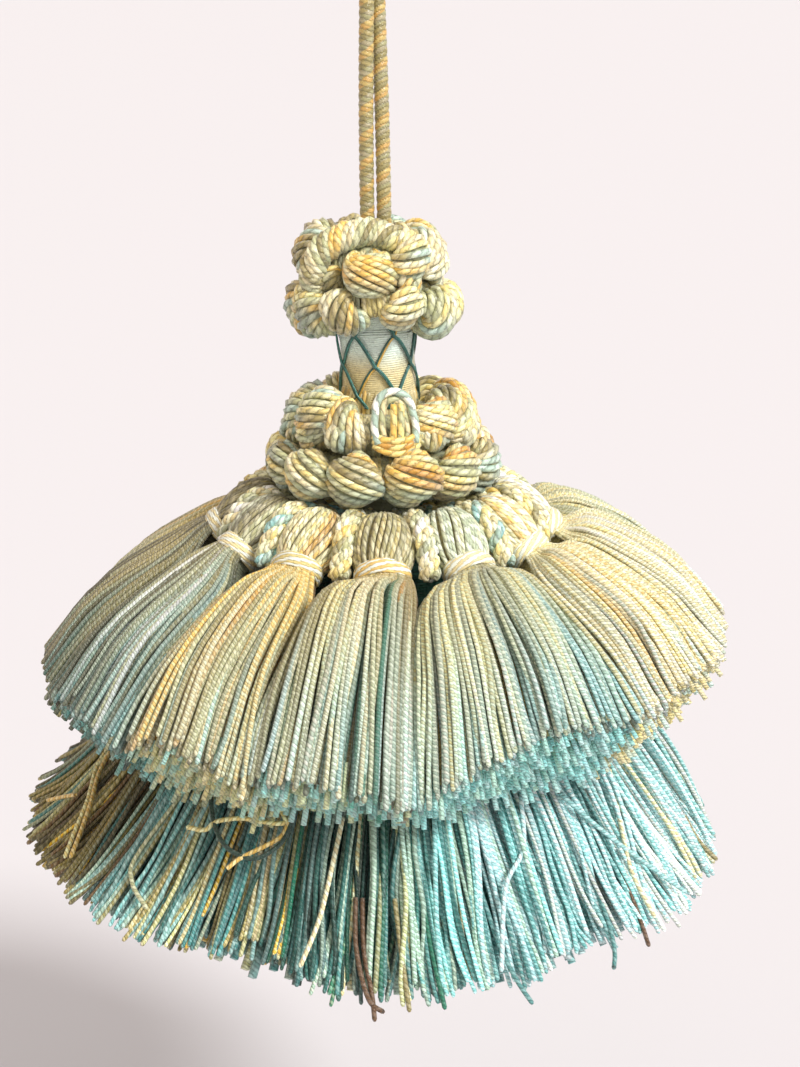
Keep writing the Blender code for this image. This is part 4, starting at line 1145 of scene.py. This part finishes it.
def make_skirt_layer(layer, sizes, material):
    """A ring of threads from under the tufts to the hem, drawn into locks that close towards the tips.

    A thread follows the skirt's slope, stands off it by a half sine, and is longer or shorter by its
    lock and by the hem's notches, each a bell curve over the azimuth."""
    rng = np.random.default_rng(SEEDS["skirt"] + layer)
    thick = 0.45 * sizes.thread_mm
    depth, painted_depth_shade, sides = SKIRT_LAYERS[layer]
    count = int(math.tau * HEM_RADIUS / (SKIRT_PITCH * thick))
    azimuth = math.tau * (np.arange(count) + rng.uniform(-0.4, 0.4, count)) / count
    fraction = np.abs(depth + rng.normal(0.0, 0.012, count))
    place = azimuth / math.tau * SKIRT_LOCKS + 0.45 * np.sin(9.0 * azimuth)
    lock = np.floor(place).astype(int)
    lock -= lock.min()
    middle = azimuth + (0.5 - place % 1.0) * math.tau / SKIRT_LOCKS
    share = np.linspace(SKIRT_START, 1.0, SKIRT_STEPS)[None, :]
    long = rng.normal(0.0, 0.014, count) + 0.02 * np.sin(lock * 2.4)
    for middle_at, wide, short in HEM_NOTCHES:
        apart = (np.degrees(azimuth) - middle_at + 180.0) % 360.0 - 180.0
        long = long - short * np.exp(-((apart / wide) ** 2)) / (1.0 - SKIRT_START)
    share = share + (share - SKIRT_START) * long[:, None]
    drawn = eased((share - 0.42) / 0.58) * rng.uniform(0.15, 0.75, lock.max() + 1)[lock][:, None]
    turn = azimuth[:, None] + (middle - azimuth)[:, None] * drawn * rng.uniform(0.5, 1.0, (count, 1))
    lean = rng.normal(0.0, 0.05, lock.max() + 1)[lock]
    stray = lean + np.where(rng.random(count) < 0.14, rng.normal(0.0, 0.11, count), 0.0)
    turn = turn + stray[:, None] * (share - SKIRT_START) ** 1.5
    proud = np.abs(rng.normal(0.0, 1.1, lock.max() + 1))[lock][:, None]
    proud = proud + np.abs(rng.normal(0.0, 0.6, (count, 1)))
    paths = skirt_points(turn, share, fraction[:, None])
    out = off_skirt(turn)
    arch = np.sin(math.pi * (share - SKIRT_START) / (1.0 - SKIRT_START))
    paths = paths + out * ((proud - 0.9) * arch)[..., None]
    paths = wave(rng, paths, 0.7, out, lock)
    paths = wave(rng, paths, 0.26, out, np.arange(count), 3.0)
    tint, ply = skirt_tints(rng, azimuth)
    tone = rng.normal(1.0, 0.1, lock.max() + 1)[lock] * rng.normal(1.0, 0.12, count)
    # painted shade: the deeper layers are darkened, less on the front's right side where painted light
    # lifts them; the factor also carries each lock's and thread's random tone
    painted_inner_shade = painted_depth_shade * (1.0 - 0.55 * painted_key_light(azimuth))
    painted_shade = ((SKIRT_BRIGHT - painted_inner_shade) * tone.clip(0.7, 1.3))[:, None]
    bundle = Bundle()
    radii = thick * rng.uniform(0.85, 1.12, (count, 1)) * np.ones(SKIRT_STEPS)
    bundle.tubes(paths, radii, out, tint * painted_shade, ply * painted_shade, sides=sides, rounded=True)
    bundle.make(f"skirt_threads_{layer + 1}", material, ["skirt"])


STRAYS = (
    # colour, lift off the skirt, and each point's azimuth in degrees and share of the slope
    (DARK_GREEN, 4.2, (
        (-37, 0.58), (-36.2, 0.635), (-34.4, 0.66), (-30.9, 0.719), (-26.8, 0.759),
        (-21.9, 0.77), (-19.0, 0.75), (-17.1, 0.719), (-16, 0.66),
    )),
    (STRAW, 4.2, (
        (-35.5, 0.745), (-31.9, 0.739), (-30.5, 0.718), (-26.1, 0.699),
        (-21.9, 0.696), (-17.6, 0.69), (-19.4, 0.66),
    )),
    (GOLD, 4.2, (
        (-25.4, 0.80), (-24.1, 0.778), (-22.2, 0.759),
        (-20.0, 0.74), (-17.6, 0.716), (-16.6, 0.68),
    )),
    (STRAW, 1.2, ((-80, 0.7), (-76.0, 0.766), (-67.9, 0.821), (-63.4, 0.881), (-59.6, 0.94))),
    (GOLD, 1.2, ((-78, 0.7), (-73.0, 0.766), (-66.0, 0.821), (-61.4, 0.881), (-58.6, 0.93))),
    (GOLD, 1.6, ((-77.4, 0.911), (-74.6, 0.869), (-71.4, 0.834))),
    (SAGE, 1.4, ((-42, 0.6), (-45.9, 0.826), (-43.5, 0.889), (-38.1, 0.927))),
    (BROWN, 0.0, ((-3.4, 0.80), (-2.8, 0.90), (-1.4, 0.99), (-0.9, 1.05))),
    (BROWN, 0.1, ((-4.6, 0.80), (-4.0, 0.90), (-1.9, 1.0), (0.4, 1.03))),
    (OLIVE, 0.1, ((2.2, 0.80), (3.0, 0.90), (3.9, 1.03))),
    (EMERALD, 0.1, ((7.0, 0.80), (7.8, 0.90), (8.9, 1.03))),
    (TEAL, 0.1, ((17.6, 0.80), (18.8, 0.91), (20.2, 0.99), (21.6, 1.05))),
    (TEAL, 0.1, ((40.4, 0.80), (39.4, 0.92), (38.0, 0.99), (36.3, 1.03))),
    (BROWN, 0.1, ((47.4, 0.82), (46.2, 0.93), (44.6, 1.02))),
    (OLIVE, 0.6, ((75.0, 0.866), (73.4, 0.929), (74.5, 1.0))),
    (CREAM, 2.6, ((-7.5, 0.66), (-9.0, 0.80), (-9.8, 0.87), (-11.4, 0.96))),
    (PALE_AQUA, 1.6, ((30, 0.64), (26.8, 0.74), (21.4, 0.808), (17.5, 0.97))),
    (CREAM, 1.1, ((58, 0.66), (52, 0.76), (48, 0.86), (47.5, 0.97))),
    (AQUA, 1.2, ((40, 0.66), (46, 0.76), (52, 0.86), (57.5, 0.97))),
)


def make_strays(sizes, material):
    """Single threads over the skirt: curves through points given by azimuth, share and lift."""
    bundle = Bundle()
    for colour, lift, places in STRAYS:
        turn = np.radians([place[0] for place in places])
        share = np.array([place[1] for place in places])
        knots = skirt_points(turn, share, 0.0)
        knots = knots + off_skirt(turn) * lift
        path = smooth_paths(knots[None], 8 * len(places))
        tint = dye(colour)[None]
        across = outward(turn[0]) + UP * 0.7  # any way that isn't along the thread
        bundle.tubes(path, 0.46 * sizes.thread_mm, across, tint, painted_highlight_ply(tint), rounded=True)
    bundle.make("skirt_stray_threads", material, ["skirt"])


def make_skirt_core(material):
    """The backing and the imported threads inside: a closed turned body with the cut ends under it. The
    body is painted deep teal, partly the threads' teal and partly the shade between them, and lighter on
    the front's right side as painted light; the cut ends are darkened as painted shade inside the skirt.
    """
    bundle = Bundle()
    turns = math.tau * np.arange(CORE_SIDES) / CORE_SIDES
    rows = [at(turns, radius, height) for radius, height in ((0.5, 1.2), (9.4, 1.2), (10.2, -2.4))]
    rows += [skirt_points(turns, share, CORE_DEPTH) for share in np.linspace(0.04, CORE_END, 12)]
    rows += [skirt_points(turns, CORE_END, fraction) for fraction in (0.2, 0.4, 0.6, 0.8, 0.99)]
    rng = np.random.default_rng(SEEDS["core"])
    pale = painted_key_light(turns)[:, None]
    # painted shade, and painted light on the front's right side: the core is dark deep teal, mixed with
    # teal where the key light falls
    bundle.sheet(np.stack(rows), dye(DEEP_TEAL) * 0.9 + dye(TEAL) * 0.8 * pale)
    azimuth = []
    fraction = []
    for ring in range(1, CORE_STUB_RINGS + 1):
        around = int(math.tau * ring * 1.5 / CORE_STUB_GAP)
        azimuth.append(math.tau * (np.arange(around) + rng.uniform(-0.3, 0.3, around)) / around)
        inward = 0.98 - 0.9 * ring / CORE_STUB_RINGS
        fraction.append(np.full(around, inward) + rng.normal(0.0, 0.012, around))
    azimuth = np.concatenate(azimuth)
    fraction = np.concatenate(fraction).clip(0.06, 0.99)
    share = np.array((0.9, 1.0)) + rng.normal(0.0, 0.012, (len(azimuth), 1))
    paths = skirt_points(azimuth[:, None], share, fraction[:, None])
    tint, ply = skirt_tints(rng, azimuth)
    out = outward(azimuth)[:, None]
    # painted shade: the cut ends under the skirt are darkened to 0.75
    bundle.tubes(paths, CORE_STUB_RADIUS, out, tint * 0.75, ply * 0.75, sides=4)
    bundle.make("skirt_packed_core", material, ["skirt"])


# Hanging cord
CORD_STEPS = 520
CORD_SIDES = 18
CORD_FINE = 1600  # points of the curve before they are set at even distances
CORD_ROUTE = (
    # height, half the legs' distance, turn in degrees, lean
    (36.9, 1.0, 0, -0.85),
    (42.0, 1.0, 5, -0.92),
    (50.0, 1.0, 20, -1.02),
    (58.0, 1.0, 38, -1.12),
    (64.0, 1.0, 50, -1.18),
    (69.0, 1.15, 58, -1.2),
    (72.4, 1.8, 62, -1.2),
    (74.4, 1.95, 62, -1.2),
    (75.8, 1.2, 62, -1.2),
    (76.2, 0.0, 62, -1.2),
)


def cord_path(count):
    """Up one leg, over the top and down the other, at even distances."""
    knots = []
    for side in (-1, 1):
        height, half, turn, lean = np.array(CORD_ROUTE, dtype=float).T
        turn = np.radians(turn)
        leg = np.stack((lean + side * half * np.cos(turn), side * half * np.sin(turn), height), axis=-1)
        knots.append(leg if side < 0 else leg[-2::-1])
    fine = smooth_paths(np.concatenate(knots)[None], CORD_FINE)[0]
    along = runs(fine[None])[0]
    wanted = np.linspace(0.0, along[-1], count)
    return np.stack([np.interp(wanted, along, fine[:, k]) for k in range(3)], axis=-1)


def make_cord(sizes, material):
    """A three-strand cord: its section has three lobes and turns once in each lay, and each strand
    keeps its own tint."""
    path = cord_path(CORD_STEPS)
    rise = LEAN * np.maximum(0.0, path[:, 2] - LEAN_FROM)
    path[:, 0] -= rise
    along = runs(path[None])[0]
    ahead = unit(np.gradient(path, axis=0))
    across = unit(np.cross(ahead, np.array((0.35, 1.0, 0.1))))  # a way that the cord never takes
    over = np.cross(across, ahead)
    spin = math.tau * (np.arange(CORD_SIDES)[None, :] / CORD_SIDES)
    lay = math.tau * along[:, None] / sizes.cord_lay_mm
    lobe = np.abs(np.cos(1.5 * (spin - lay)))
    radius = 0.5 * sizes.cord_mm * (0.80 + 0.20 * np.sqrt(lobe))
    round_it = np.cos(spin)[..., None] * over[:, None] + np.sin(spin)[..., None] * across[:, None]
    grid = path[:, None] + round_it * radius[..., None]
    strand = np.floor(((spin - lay) / math.tau * 3.0 + 0.5) % 3.0).astype(int)
    green = (dye(OLIVE), dye(KHAKI))
    grey = (dye(SAGE) * 0.4 + dye(KHAKI) * 0.4, dye(CREAM) * 0.5)
    gold = (0.8 * dye(DEEP_GOLD) + 0.2 * dye(SAGE), dye(GOLD) * 0.55 + dye(SAGE) * 0.25)
    strands, second = (np.stack(tints) for tints in zip(green, grey, gold))
    bundle = Bundle()
    bundle.sheet(grid, strands[strand], second[strand])
    piece = bundle.make("hanging_cord_twisted", material, ["hanging_cord"])
    centre = path.copy()
    centre[:, 0] += rise
    centre = (centre + AXIS) * MM


# Materials
FIBRES = 2600.0  # fibre grains in a metre
FIBRE_JITTER = 0.42
FINISHES = {
    # lay in mm, painted shade in the grooves between the plies, bump, sheen
    "thread": (0.40, 0.52, 1.0, 0.25),
    "yarn": (1.05, 0.7, 1.0, 0.3),
    "floss": (3.0, 0.3, 0.5, 0.3),
    "fine": (1.2, 0.35, 0.8, 0.2),
    "cord": (0.6, 0.6, 0.8, 0.2),
}


def yarn_group():
    """Two-ply twist on a thread's map: which ply shows, its round, painted shade in the grooves between the
    plies, and fine fibre noise.

    A sine of the place along and around the thread tells the plies apart, and the root of its size is
    their height. Noise on the object's own coordinates jitters the sine and makes the grain."""
    group = bpy.data.node_groups.new("two_ply_yarn", "ShaderNodeTree")
    face = group.interface
    face.new_socket("Tint", in_out="INPUT", socket_type="NodeSocketColor")
    face.new_socket("Ply", in_out="INPUT", socket_type="NodeSocketColor")
    lay = face.new_socket("Lay", in_out="INPUT", socket_type="NodeSocketFloat")
    lay.default_value = 1.5
    # how much shade is painted into the grooves between the plies
    depth = face.new_socket("PaintedGapShade", in_out="INPUT", socket_type="NodeSocketFloat")
    depth.default_value = 0.45
    face.new_socket("Color", in_out="OUTPUT", socket_type="NodeSocketColor")
    face.new_socket("Height", in_out="OUTPUT", socket_type="NodeSocketFloat")
    face.new_socket("Roughness", in_out="OUTPUT", socket_type="NodeSocketFloat")
    nodes = group.nodes
    link = group.links.new
    given = nodes.new("NodeGroupInput")
    result = nodes.new("NodeGroupOutput")

    def maths(operation, first, second=None, third=None):
        node = nodes.new("ShaderNodeMath")
        node.operation = operation
        for socket, value in zip(node.inputs, (first, second, third)):
            if value is None:
                continue
            if isinstance(value, (int, float)):
                socket.default_value = value
            else:
                link(value, socket)
        return node.outputs[0]

    uv = nodes.new("ShaderNodeUVMap")
    uv.uv_map = "thread"
    split = nodes.new("ShaderNodeSeparateXYZ")
    link(uv.outputs[0], split.inputs[0])
    place = nodes.new("ShaderNodeTexCoord")
    fibre = nodes.new("ShaderNodeTexNoise")
    strand = nodes.new("ShaderNodeTexNoise")
    strand.inputs["Scale"].default_value = 1.0
    strand.inputs["Detail"].default_value = 2.0
    strand_at = nodes.new("ShaderNodeCombineXYZ")
    link(strand_at.outputs[0], strand.inputs["Vector"])
    fibre.inputs["Scale"].default_value = FIBRES
    fibre.inputs["Detail"].default_value = 2.0
    link(place.outputs["Object"], fibre.inputs["Vector"])
    along = maths("DIVIDE", split.outputs[0], given.outputs["Lay"])
    turn = maths("ADD", maths("MULTIPLY", along, 0.5), split.outputs[1])
    link(maths("MULTIPLY", split.outputs[0], 0.7), strand_at.inputs[0])
    link(maths("MULTIPLY", turn, 15.0), strand_at.inputs[1])
    jitter = maths("MULTIPLY", fibre.outputs[0], FIBRE_JITTER)
    phase = maths("MULTIPLY", maths("ADD", turn, jitter), math.tau)
    wave_at = maths("SINE", phase)
    which = maths("MULTIPLY_ADD", wave_at, 2.0, 0.5)
    clamped = nodes.new("ShaderNodeClamp")
    link(which, clamped.inputs[0])
    height = maths("SQRT", maths("ABSOLUTE", wave_at))
    plies = nodes.new("ShaderNodeMix")
    plies.data_type = "RGBA"
    link(clamped.outputs[0], plies.inputs["Factor"])
    link(given.outputs["Tint"], plies.inputs[6])
    link(given.outputs["Ply"], plies.inputs[7])
    # painted shade: the colour is darkened where the plies' height is low, in the grooves between them
    gap = maths("MULTIPLY", maths("SUBTRACT", 0.72, height), given.outputs["PaintedGapShade"])
    streaks = maths("MULTIPLY", strand.outputs[0], 0.8)
    grain = maths("ADD", maths("MULTIPLY_ADD", fibre.outputs[0], 0.4, 0.42), streaks)
    value = maths("MULTIPLY", maths("SUBTRACT", 1.0, gap), grain)
    shaded = nodes.new("ShaderNodeVectorMath")
    shaded.operation = "SCALE"
    link(plies.outputs[2], shaded.inputs[0])
    link(value, shaded.inputs["Scale"])
    link(shaded.outputs[0], result.inputs["Color"])
    link(maths("MULTIPLY_ADD", strand.outputs[0], 0.8, height), result.inputs["Height"])
    link(maths("MULTIPLY_ADD", fibre.outputs[0], 0.3, 0.15), result.inputs["Roughness"])
    return group


def yarn_material(name, lay, dark, bump, sheen):
    """A silky thread: the yarn group's colour, roughness and bump on a Principled shader with sheen."""
    material = bpy.data.materials.new(name)
    material.use_nodes = True
    nodes = material.node_tree.nodes
    link = material.node_tree.links.new
    shader = nodes["Principled BSDF"]
    yarn = nodes.new("ShaderNodeGroup")
    yarn.node_tree = bpy.data.node_groups.get("two_ply_yarn") or yarn_group()
    yarn.inputs["Lay"].default_value = lay
    yarn.inputs["PaintedGapShade"].default_value = dark
    for label, socket in (("tint", "Tint"), ("ply", "Ply")):
        attribute = nodes.new("ShaderNodeVertexColor")
        attribute.layer_name = label
        link(attribute.outputs["Color"], yarn.inputs[socket])
    bump_node = nodes.new("ShaderNodeBump")
    bump_node.inputs["Strength"].default_value = bump
    bump_node.inputs["Distance"].default_value = 0.0001
    link(yarn.outputs["Height"], bump_node.inputs["Height"])
    link(bump_node.outputs[0], shader.inputs["Normal"])
    link(yarn.outputs["Color"], shader.inputs["Base Color"])
    link(yarn.outputs["Roughness"], shader.inputs["Roughness"])
    shader.inputs["Sheen Weight"].default_value = sheen
    shader.inputs["Sheen Roughness"].default_value = 0.4
    shader.inputs["Specular IOR Level"].default_value = 0.7
    return material


def finish_of(kind):
    """The material of a kind of yarn, made when first asked for."""
    name = "silky_" + kind
    return bpy.data.materials.get(name) or yarn_material(name, *FINISHES[kind])


class TasselSizes(bpy.types.PropertyGroup):
    """Sizes that a user would change."""

    thread_mm: bpy.props.FloatProperty(
        name="Thread",
        description="Thickness of the tufts' and skirt's threads, in mm",
        default=0.62,
        min=0.3,
        max=1.2,
    )
    rope_mm: bpy.props.FloatProperty(
        name="Rope", description="Thickness of the short ropes, in mm", default=2.5, min=1.0, max=3.0
    )
    cord_mm: bpy.props.FloatProperty(
        name="Cord", description="Thickness of the hanging cord, in mm", default=1.8, min=1.0, max=2.0
    )
    cord_lay_mm: bpy.props.FloatProperty(
        name="Cord lay",
        description="Length of one full turn of the cord's strands, in mm",
        default=3.1,
        min=1.0,
        max=9.0,
    )


class TasselStage(bpy.types.PropertyGroup):
    """The floor, the light and the view."""

    floor_colour: bpy.props.FloatVectorProperty(
        name="Floor",
        description="Colour of the floor",
        subtype="COLOR",
        default=(0.66, 0.645, 0.67),
        min=0.0,
        max=1.0,
    )
    floor_drop: bpy.props.FloatProperty(
        name="Floor drop",
        description="Height of the skirt's tips over the floor",
        default=0.07,
        unit="LENGTH",
    )
    light: bpy.props.FloatProperty(
        name="Light", description="Strength of all lights", default=1.0, min=0.0, max=5.0
    )
    key: bpy.props.FloatProperty(
        name="Key light", description="Strength of the light from the right", default=2.9, min=0.0, max=9.0
    )
    room_left: bpy.props.FloatVectorProperty(
        name="Room, left", description="Light from the left", subtype="COLOR", default=(0.66, 0.53, 0.42)
    )
    room_right: bpy.props.FloatVectorProperty(
        name="Room, right", description="Light from the right", subtype="COLOR", default=(0.95, 0.95, 0.98)
    )
    room_seen: bpy.props.FloatVectorProperty(
        name="Room, seen",
        description="Colour of the room behind the floor",
        subtype="COLOR",
        default=(0.95, 0.88, 0.87),
    )


class TASSEL_OT_hanging_cord(bpy.types.Operator):
    """Dress the doubled hanging cord"""

    bl_idname = "tassel.hanging_cord"
    bl_label = "Hanging cord"

    def execute(self, context):
        make_cord(context.scene.tassel_sizes, finish_of("cord"))
        return {"FINISHED"}


class TASSEL_OT_ruffs(bpy.types.Operator):
    """Dress the rows of cord loops"""

    bl_idname = "tassel.ruffs"
    bl_label = "Ruffs"

    def execute(self, context):
        for name in RUFFS:
            make_ruff(name, finish_of("yarn"))
        return {"FINISHED"}


class TASSEL_OT_neck(bpy.types.Operator):
    """Dress the neck with floss and its net"""

    bl_idname = "tassel.neck"
    bl_label = "Neck and net"

    def execute(self, context):
        make_neck(finish_of("floss"))
        make_net(finish_of("fine"))
        return {"FINISHED"}


class TASSEL_OT_tufts(bpy.types.Operator):
    """Dress the tufts with their heads, bindings and ropes"""

    bl_idname = "tassel.tufts"
    bl_label = "Tufts"

    def execute(self, context):
        sizes = context.scene.tassel_sizes
        for number in range(TUFTS):
            make_tuft(number, sizes, finish_of("thread"))
            make_head(number, finish_of("yarn"))
            make_binding(number, finish_of("fine"))
            make_rope(number, sizes, finish_of("yarn"))
        return {"FINISHED"}


class TASSEL_OT_skirt(bpy.types.Operator):
    """Dress the skirt with threads"""

    bl_idname = "tassel.skirt"
    bl_label = "Skirt"

    def execute(self, context):
        sizes = context.scene.tassel_sizes
        for layer in range(len(SKIRT_LAYERS)):
            make_skirt_layer(layer, sizes, finish_of("thread"))
        make_strays(sizes, finish_of("thread"))
        make_skirt_core(finish_of("thread"))
        return {"FINISHED"}


FLOOR_HALF = 60.0  # metres, far enough that its edge doesn't show
KEY_FROM = Vector((0.44, -0.36, 0.52))
KEY_ANGLE = math.radians(15.0)
KEY_COLOUR = (1.0, 0.99, 0.97)
VIEW_DOWN = math.radians(17.0)
VIEW_DISTANCE = 0.230
VIEW_FOCAL = 1840.0  # in pixels of an image 800 wide and 1067 high
VIEW_TALL = 1067.0
SENSOR_MM = 36.0
VIEW_TARGET = Vector((0.0032, 0.0, -0.077))


def make_floor(stage):
    """A level square under the tassel, which counts as stage."""
    level = CAD_BOX[0][2] - stage.floor_drop
    mesh = bpy.data.meshes.new("floor")
    ways = ((-1, -1), (1, -1), (1, 1), (-1, 1))
    corners = [(x * FLOOR_HALF, y * FLOOR_HALF, level) for x, y in ways]
    mesh.from_pydata(corners, [], [(0, 1, 2, 3)])
    floor = bpy.data.objects.new("floor", mesh)
    bpy.context.scene.collection.objects.link(floor)
    material = bpy.data.materials.new("pale_floor")
    material.use_nodes = True
    shader = material.node_tree.nodes["Principled BSDF"]
    shader.inputs["Base Color"].default_value = (*stage.floor_colour, 1.0)
    shader.inputs["Roughness"].default_value = 0.9
    mesh.materials.append(material)


def make_room(stage):
    """A light that goes from the left's colour to the right's along x, and a plain colour where seen."""
    world = bpy.data.worlds.new("soft_room")
    world.use_nodes = True
    nodes = world.node_tree.nodes
    link = world.node_tree.links.new
    place = nodes.new("ShaderNodeTexCoord")
    split = nodes.new("ShaderNodeSeparateXYZ")
    ramp = nodes.new("ShaderNodeValToRGB")
    span = nodes.new("ShaderNodeMapRange")
    span.inputs["From Min"].default_value = -1.0
    link(place.outputs["Generated"], split.inputs[0])
    link(split.outputs[0], span.inputs["Value"])
    link(span.outputs[0], ramp.inputs[0])
    ramp.color_ramp.elements[0].color = (*stage.room_left, 1.0)
    ramp.color_ramp.elements[1].color = (*stage.room_right, 1.0)
    background = nodes["Background"]
    link(ramp.outputs[0], background.inputs["Color"])
    background.inputs["Strength"].default_value = stage.light
    seen = nodes.new("ShaderNodeBackground")
    seen.inputs["Color"].default_value = (*stage.room_seen, 1.0)
    ray = nodes.new("ShaderNodeLightPath")
    either = nodes.new("ShaderNodeMixShader")
    link(ray.outputs["Is Camera Ray"], either.inputs[0])
    link(background.outputs[0], either.inputs[1])
    link(seen.outputs[0], either.inputs[2])
    link(either.outputs[0], nodes["World Output"].inputs["Surface"])
    bpy.context.scene.world = world


def make_key(stage):
    """A wide sun from the front's right side."""
    data = bpy.data.lights.new("key", "SUN")
    data.energy = stage.key * stage.light
    data.angle = KEY_ANGLE
    data.color = KEY_COLOUR
    lamp = bpy.data.objects.new("key", data)
    lamp.rotation_euler = (-KEY_FROM).to_track_quat("-Z", "Y").to_euler()
    lamp.location = KEY_FROM
    bpy.context.scene.collection.objects.link(lamp)


def make_camera():
    """A camera that looks at the tassel from the front and from above."""
    data = bpy.data.cameras.new("camera")
    data.lens = SENSOR_MM * VIEW_FOCAL / VIEW_TALL
    data.sensor_width = SENSOR_MM
    data.sensor_fit = "AUTO"
    data.clip_start = 0.01
    camera = bpy.data.objects.new("camera", data)
    away = Vector((0.0, -math.cos(VIEW_DOWN), math.sin(VIEW_DOWN)))
    camera.location = VIEW_TARGET + away * VIEW_DISTANCE
    camera.rotation_euler = (math.radians(90.0) - VIEW_DOWN, 0.0, 0.0)
    bpy.context.scene.collection.objects.link(camera)
    bpy.context.scene.camera = camera


class TASSEL_OT_stage(bpy.types.Operator):
    """Make the floor, the lights and the camera"""

    bl_idname = "tassel.stage"
    bl_label = "Stage"

    def execute(self, context):
        stage = context.scene.tassel_stage
        context.scene.view_settings.view_transform = "Standard"
        make_floor(stage)
        make_room(stage)
        make_key(stage)
        make_camera()
        return {"FINISHED"}


class TASSEL_PT_panel(bpy.types.Panel):
    """Lists the tassel's pieces"""

    bl_idname = "TASSEL_PT_panel"
    bl_label = "Tassel"
    bl_space_type = "VIEW_3D"
    bl_region_type = "UI"
    bl_category = "Tassel"

    def draw(self, context):
        for operator in OPERATORS:
            self.layout.operator(operator.bl_idname)


OPERATORS = (
    TASSEL_OT_stage,
    TASSEL_OT_hanging_cord,
    TASSEL_OT_ruffs,
    TASSEL_OT_neck,
    TASSEL_OT_tufts,
    TASSEL_OT_skirt,
)
CLASSES = (TasselSizes, TasselStage, *OPERATORS, TASSEL_PT_panel)


def register():
    for cls in CLASSES:
        bpy.utils.register_class(cls)
    bpy.types.Scene.tassel_sizes = bpy.props.PointerProperty(type=TasselSizes)
    bpy.types.Scene.tassel_stage = bpy.props.PointerProperty(type=TasselStage)


def unregister():
    del bpy.types.Scene.tassel_stage
    del bpy.types.Scene.tassel_sizes
    for cls in reversed(CLASSES):
        bpy.utils.unregister_class(cls)


def main():
    register()
    bpy.ops.tassel.stage()
    bpy.ops.tassel.hanging_cord()
    bpy.ops.tassel.ruffs()
    bpy.ops.tassel.neck()
    bpy.ops.tassel.tufts()
    bpy.ops.tassel.skirt()


if __name__ == "__main__":
    main()
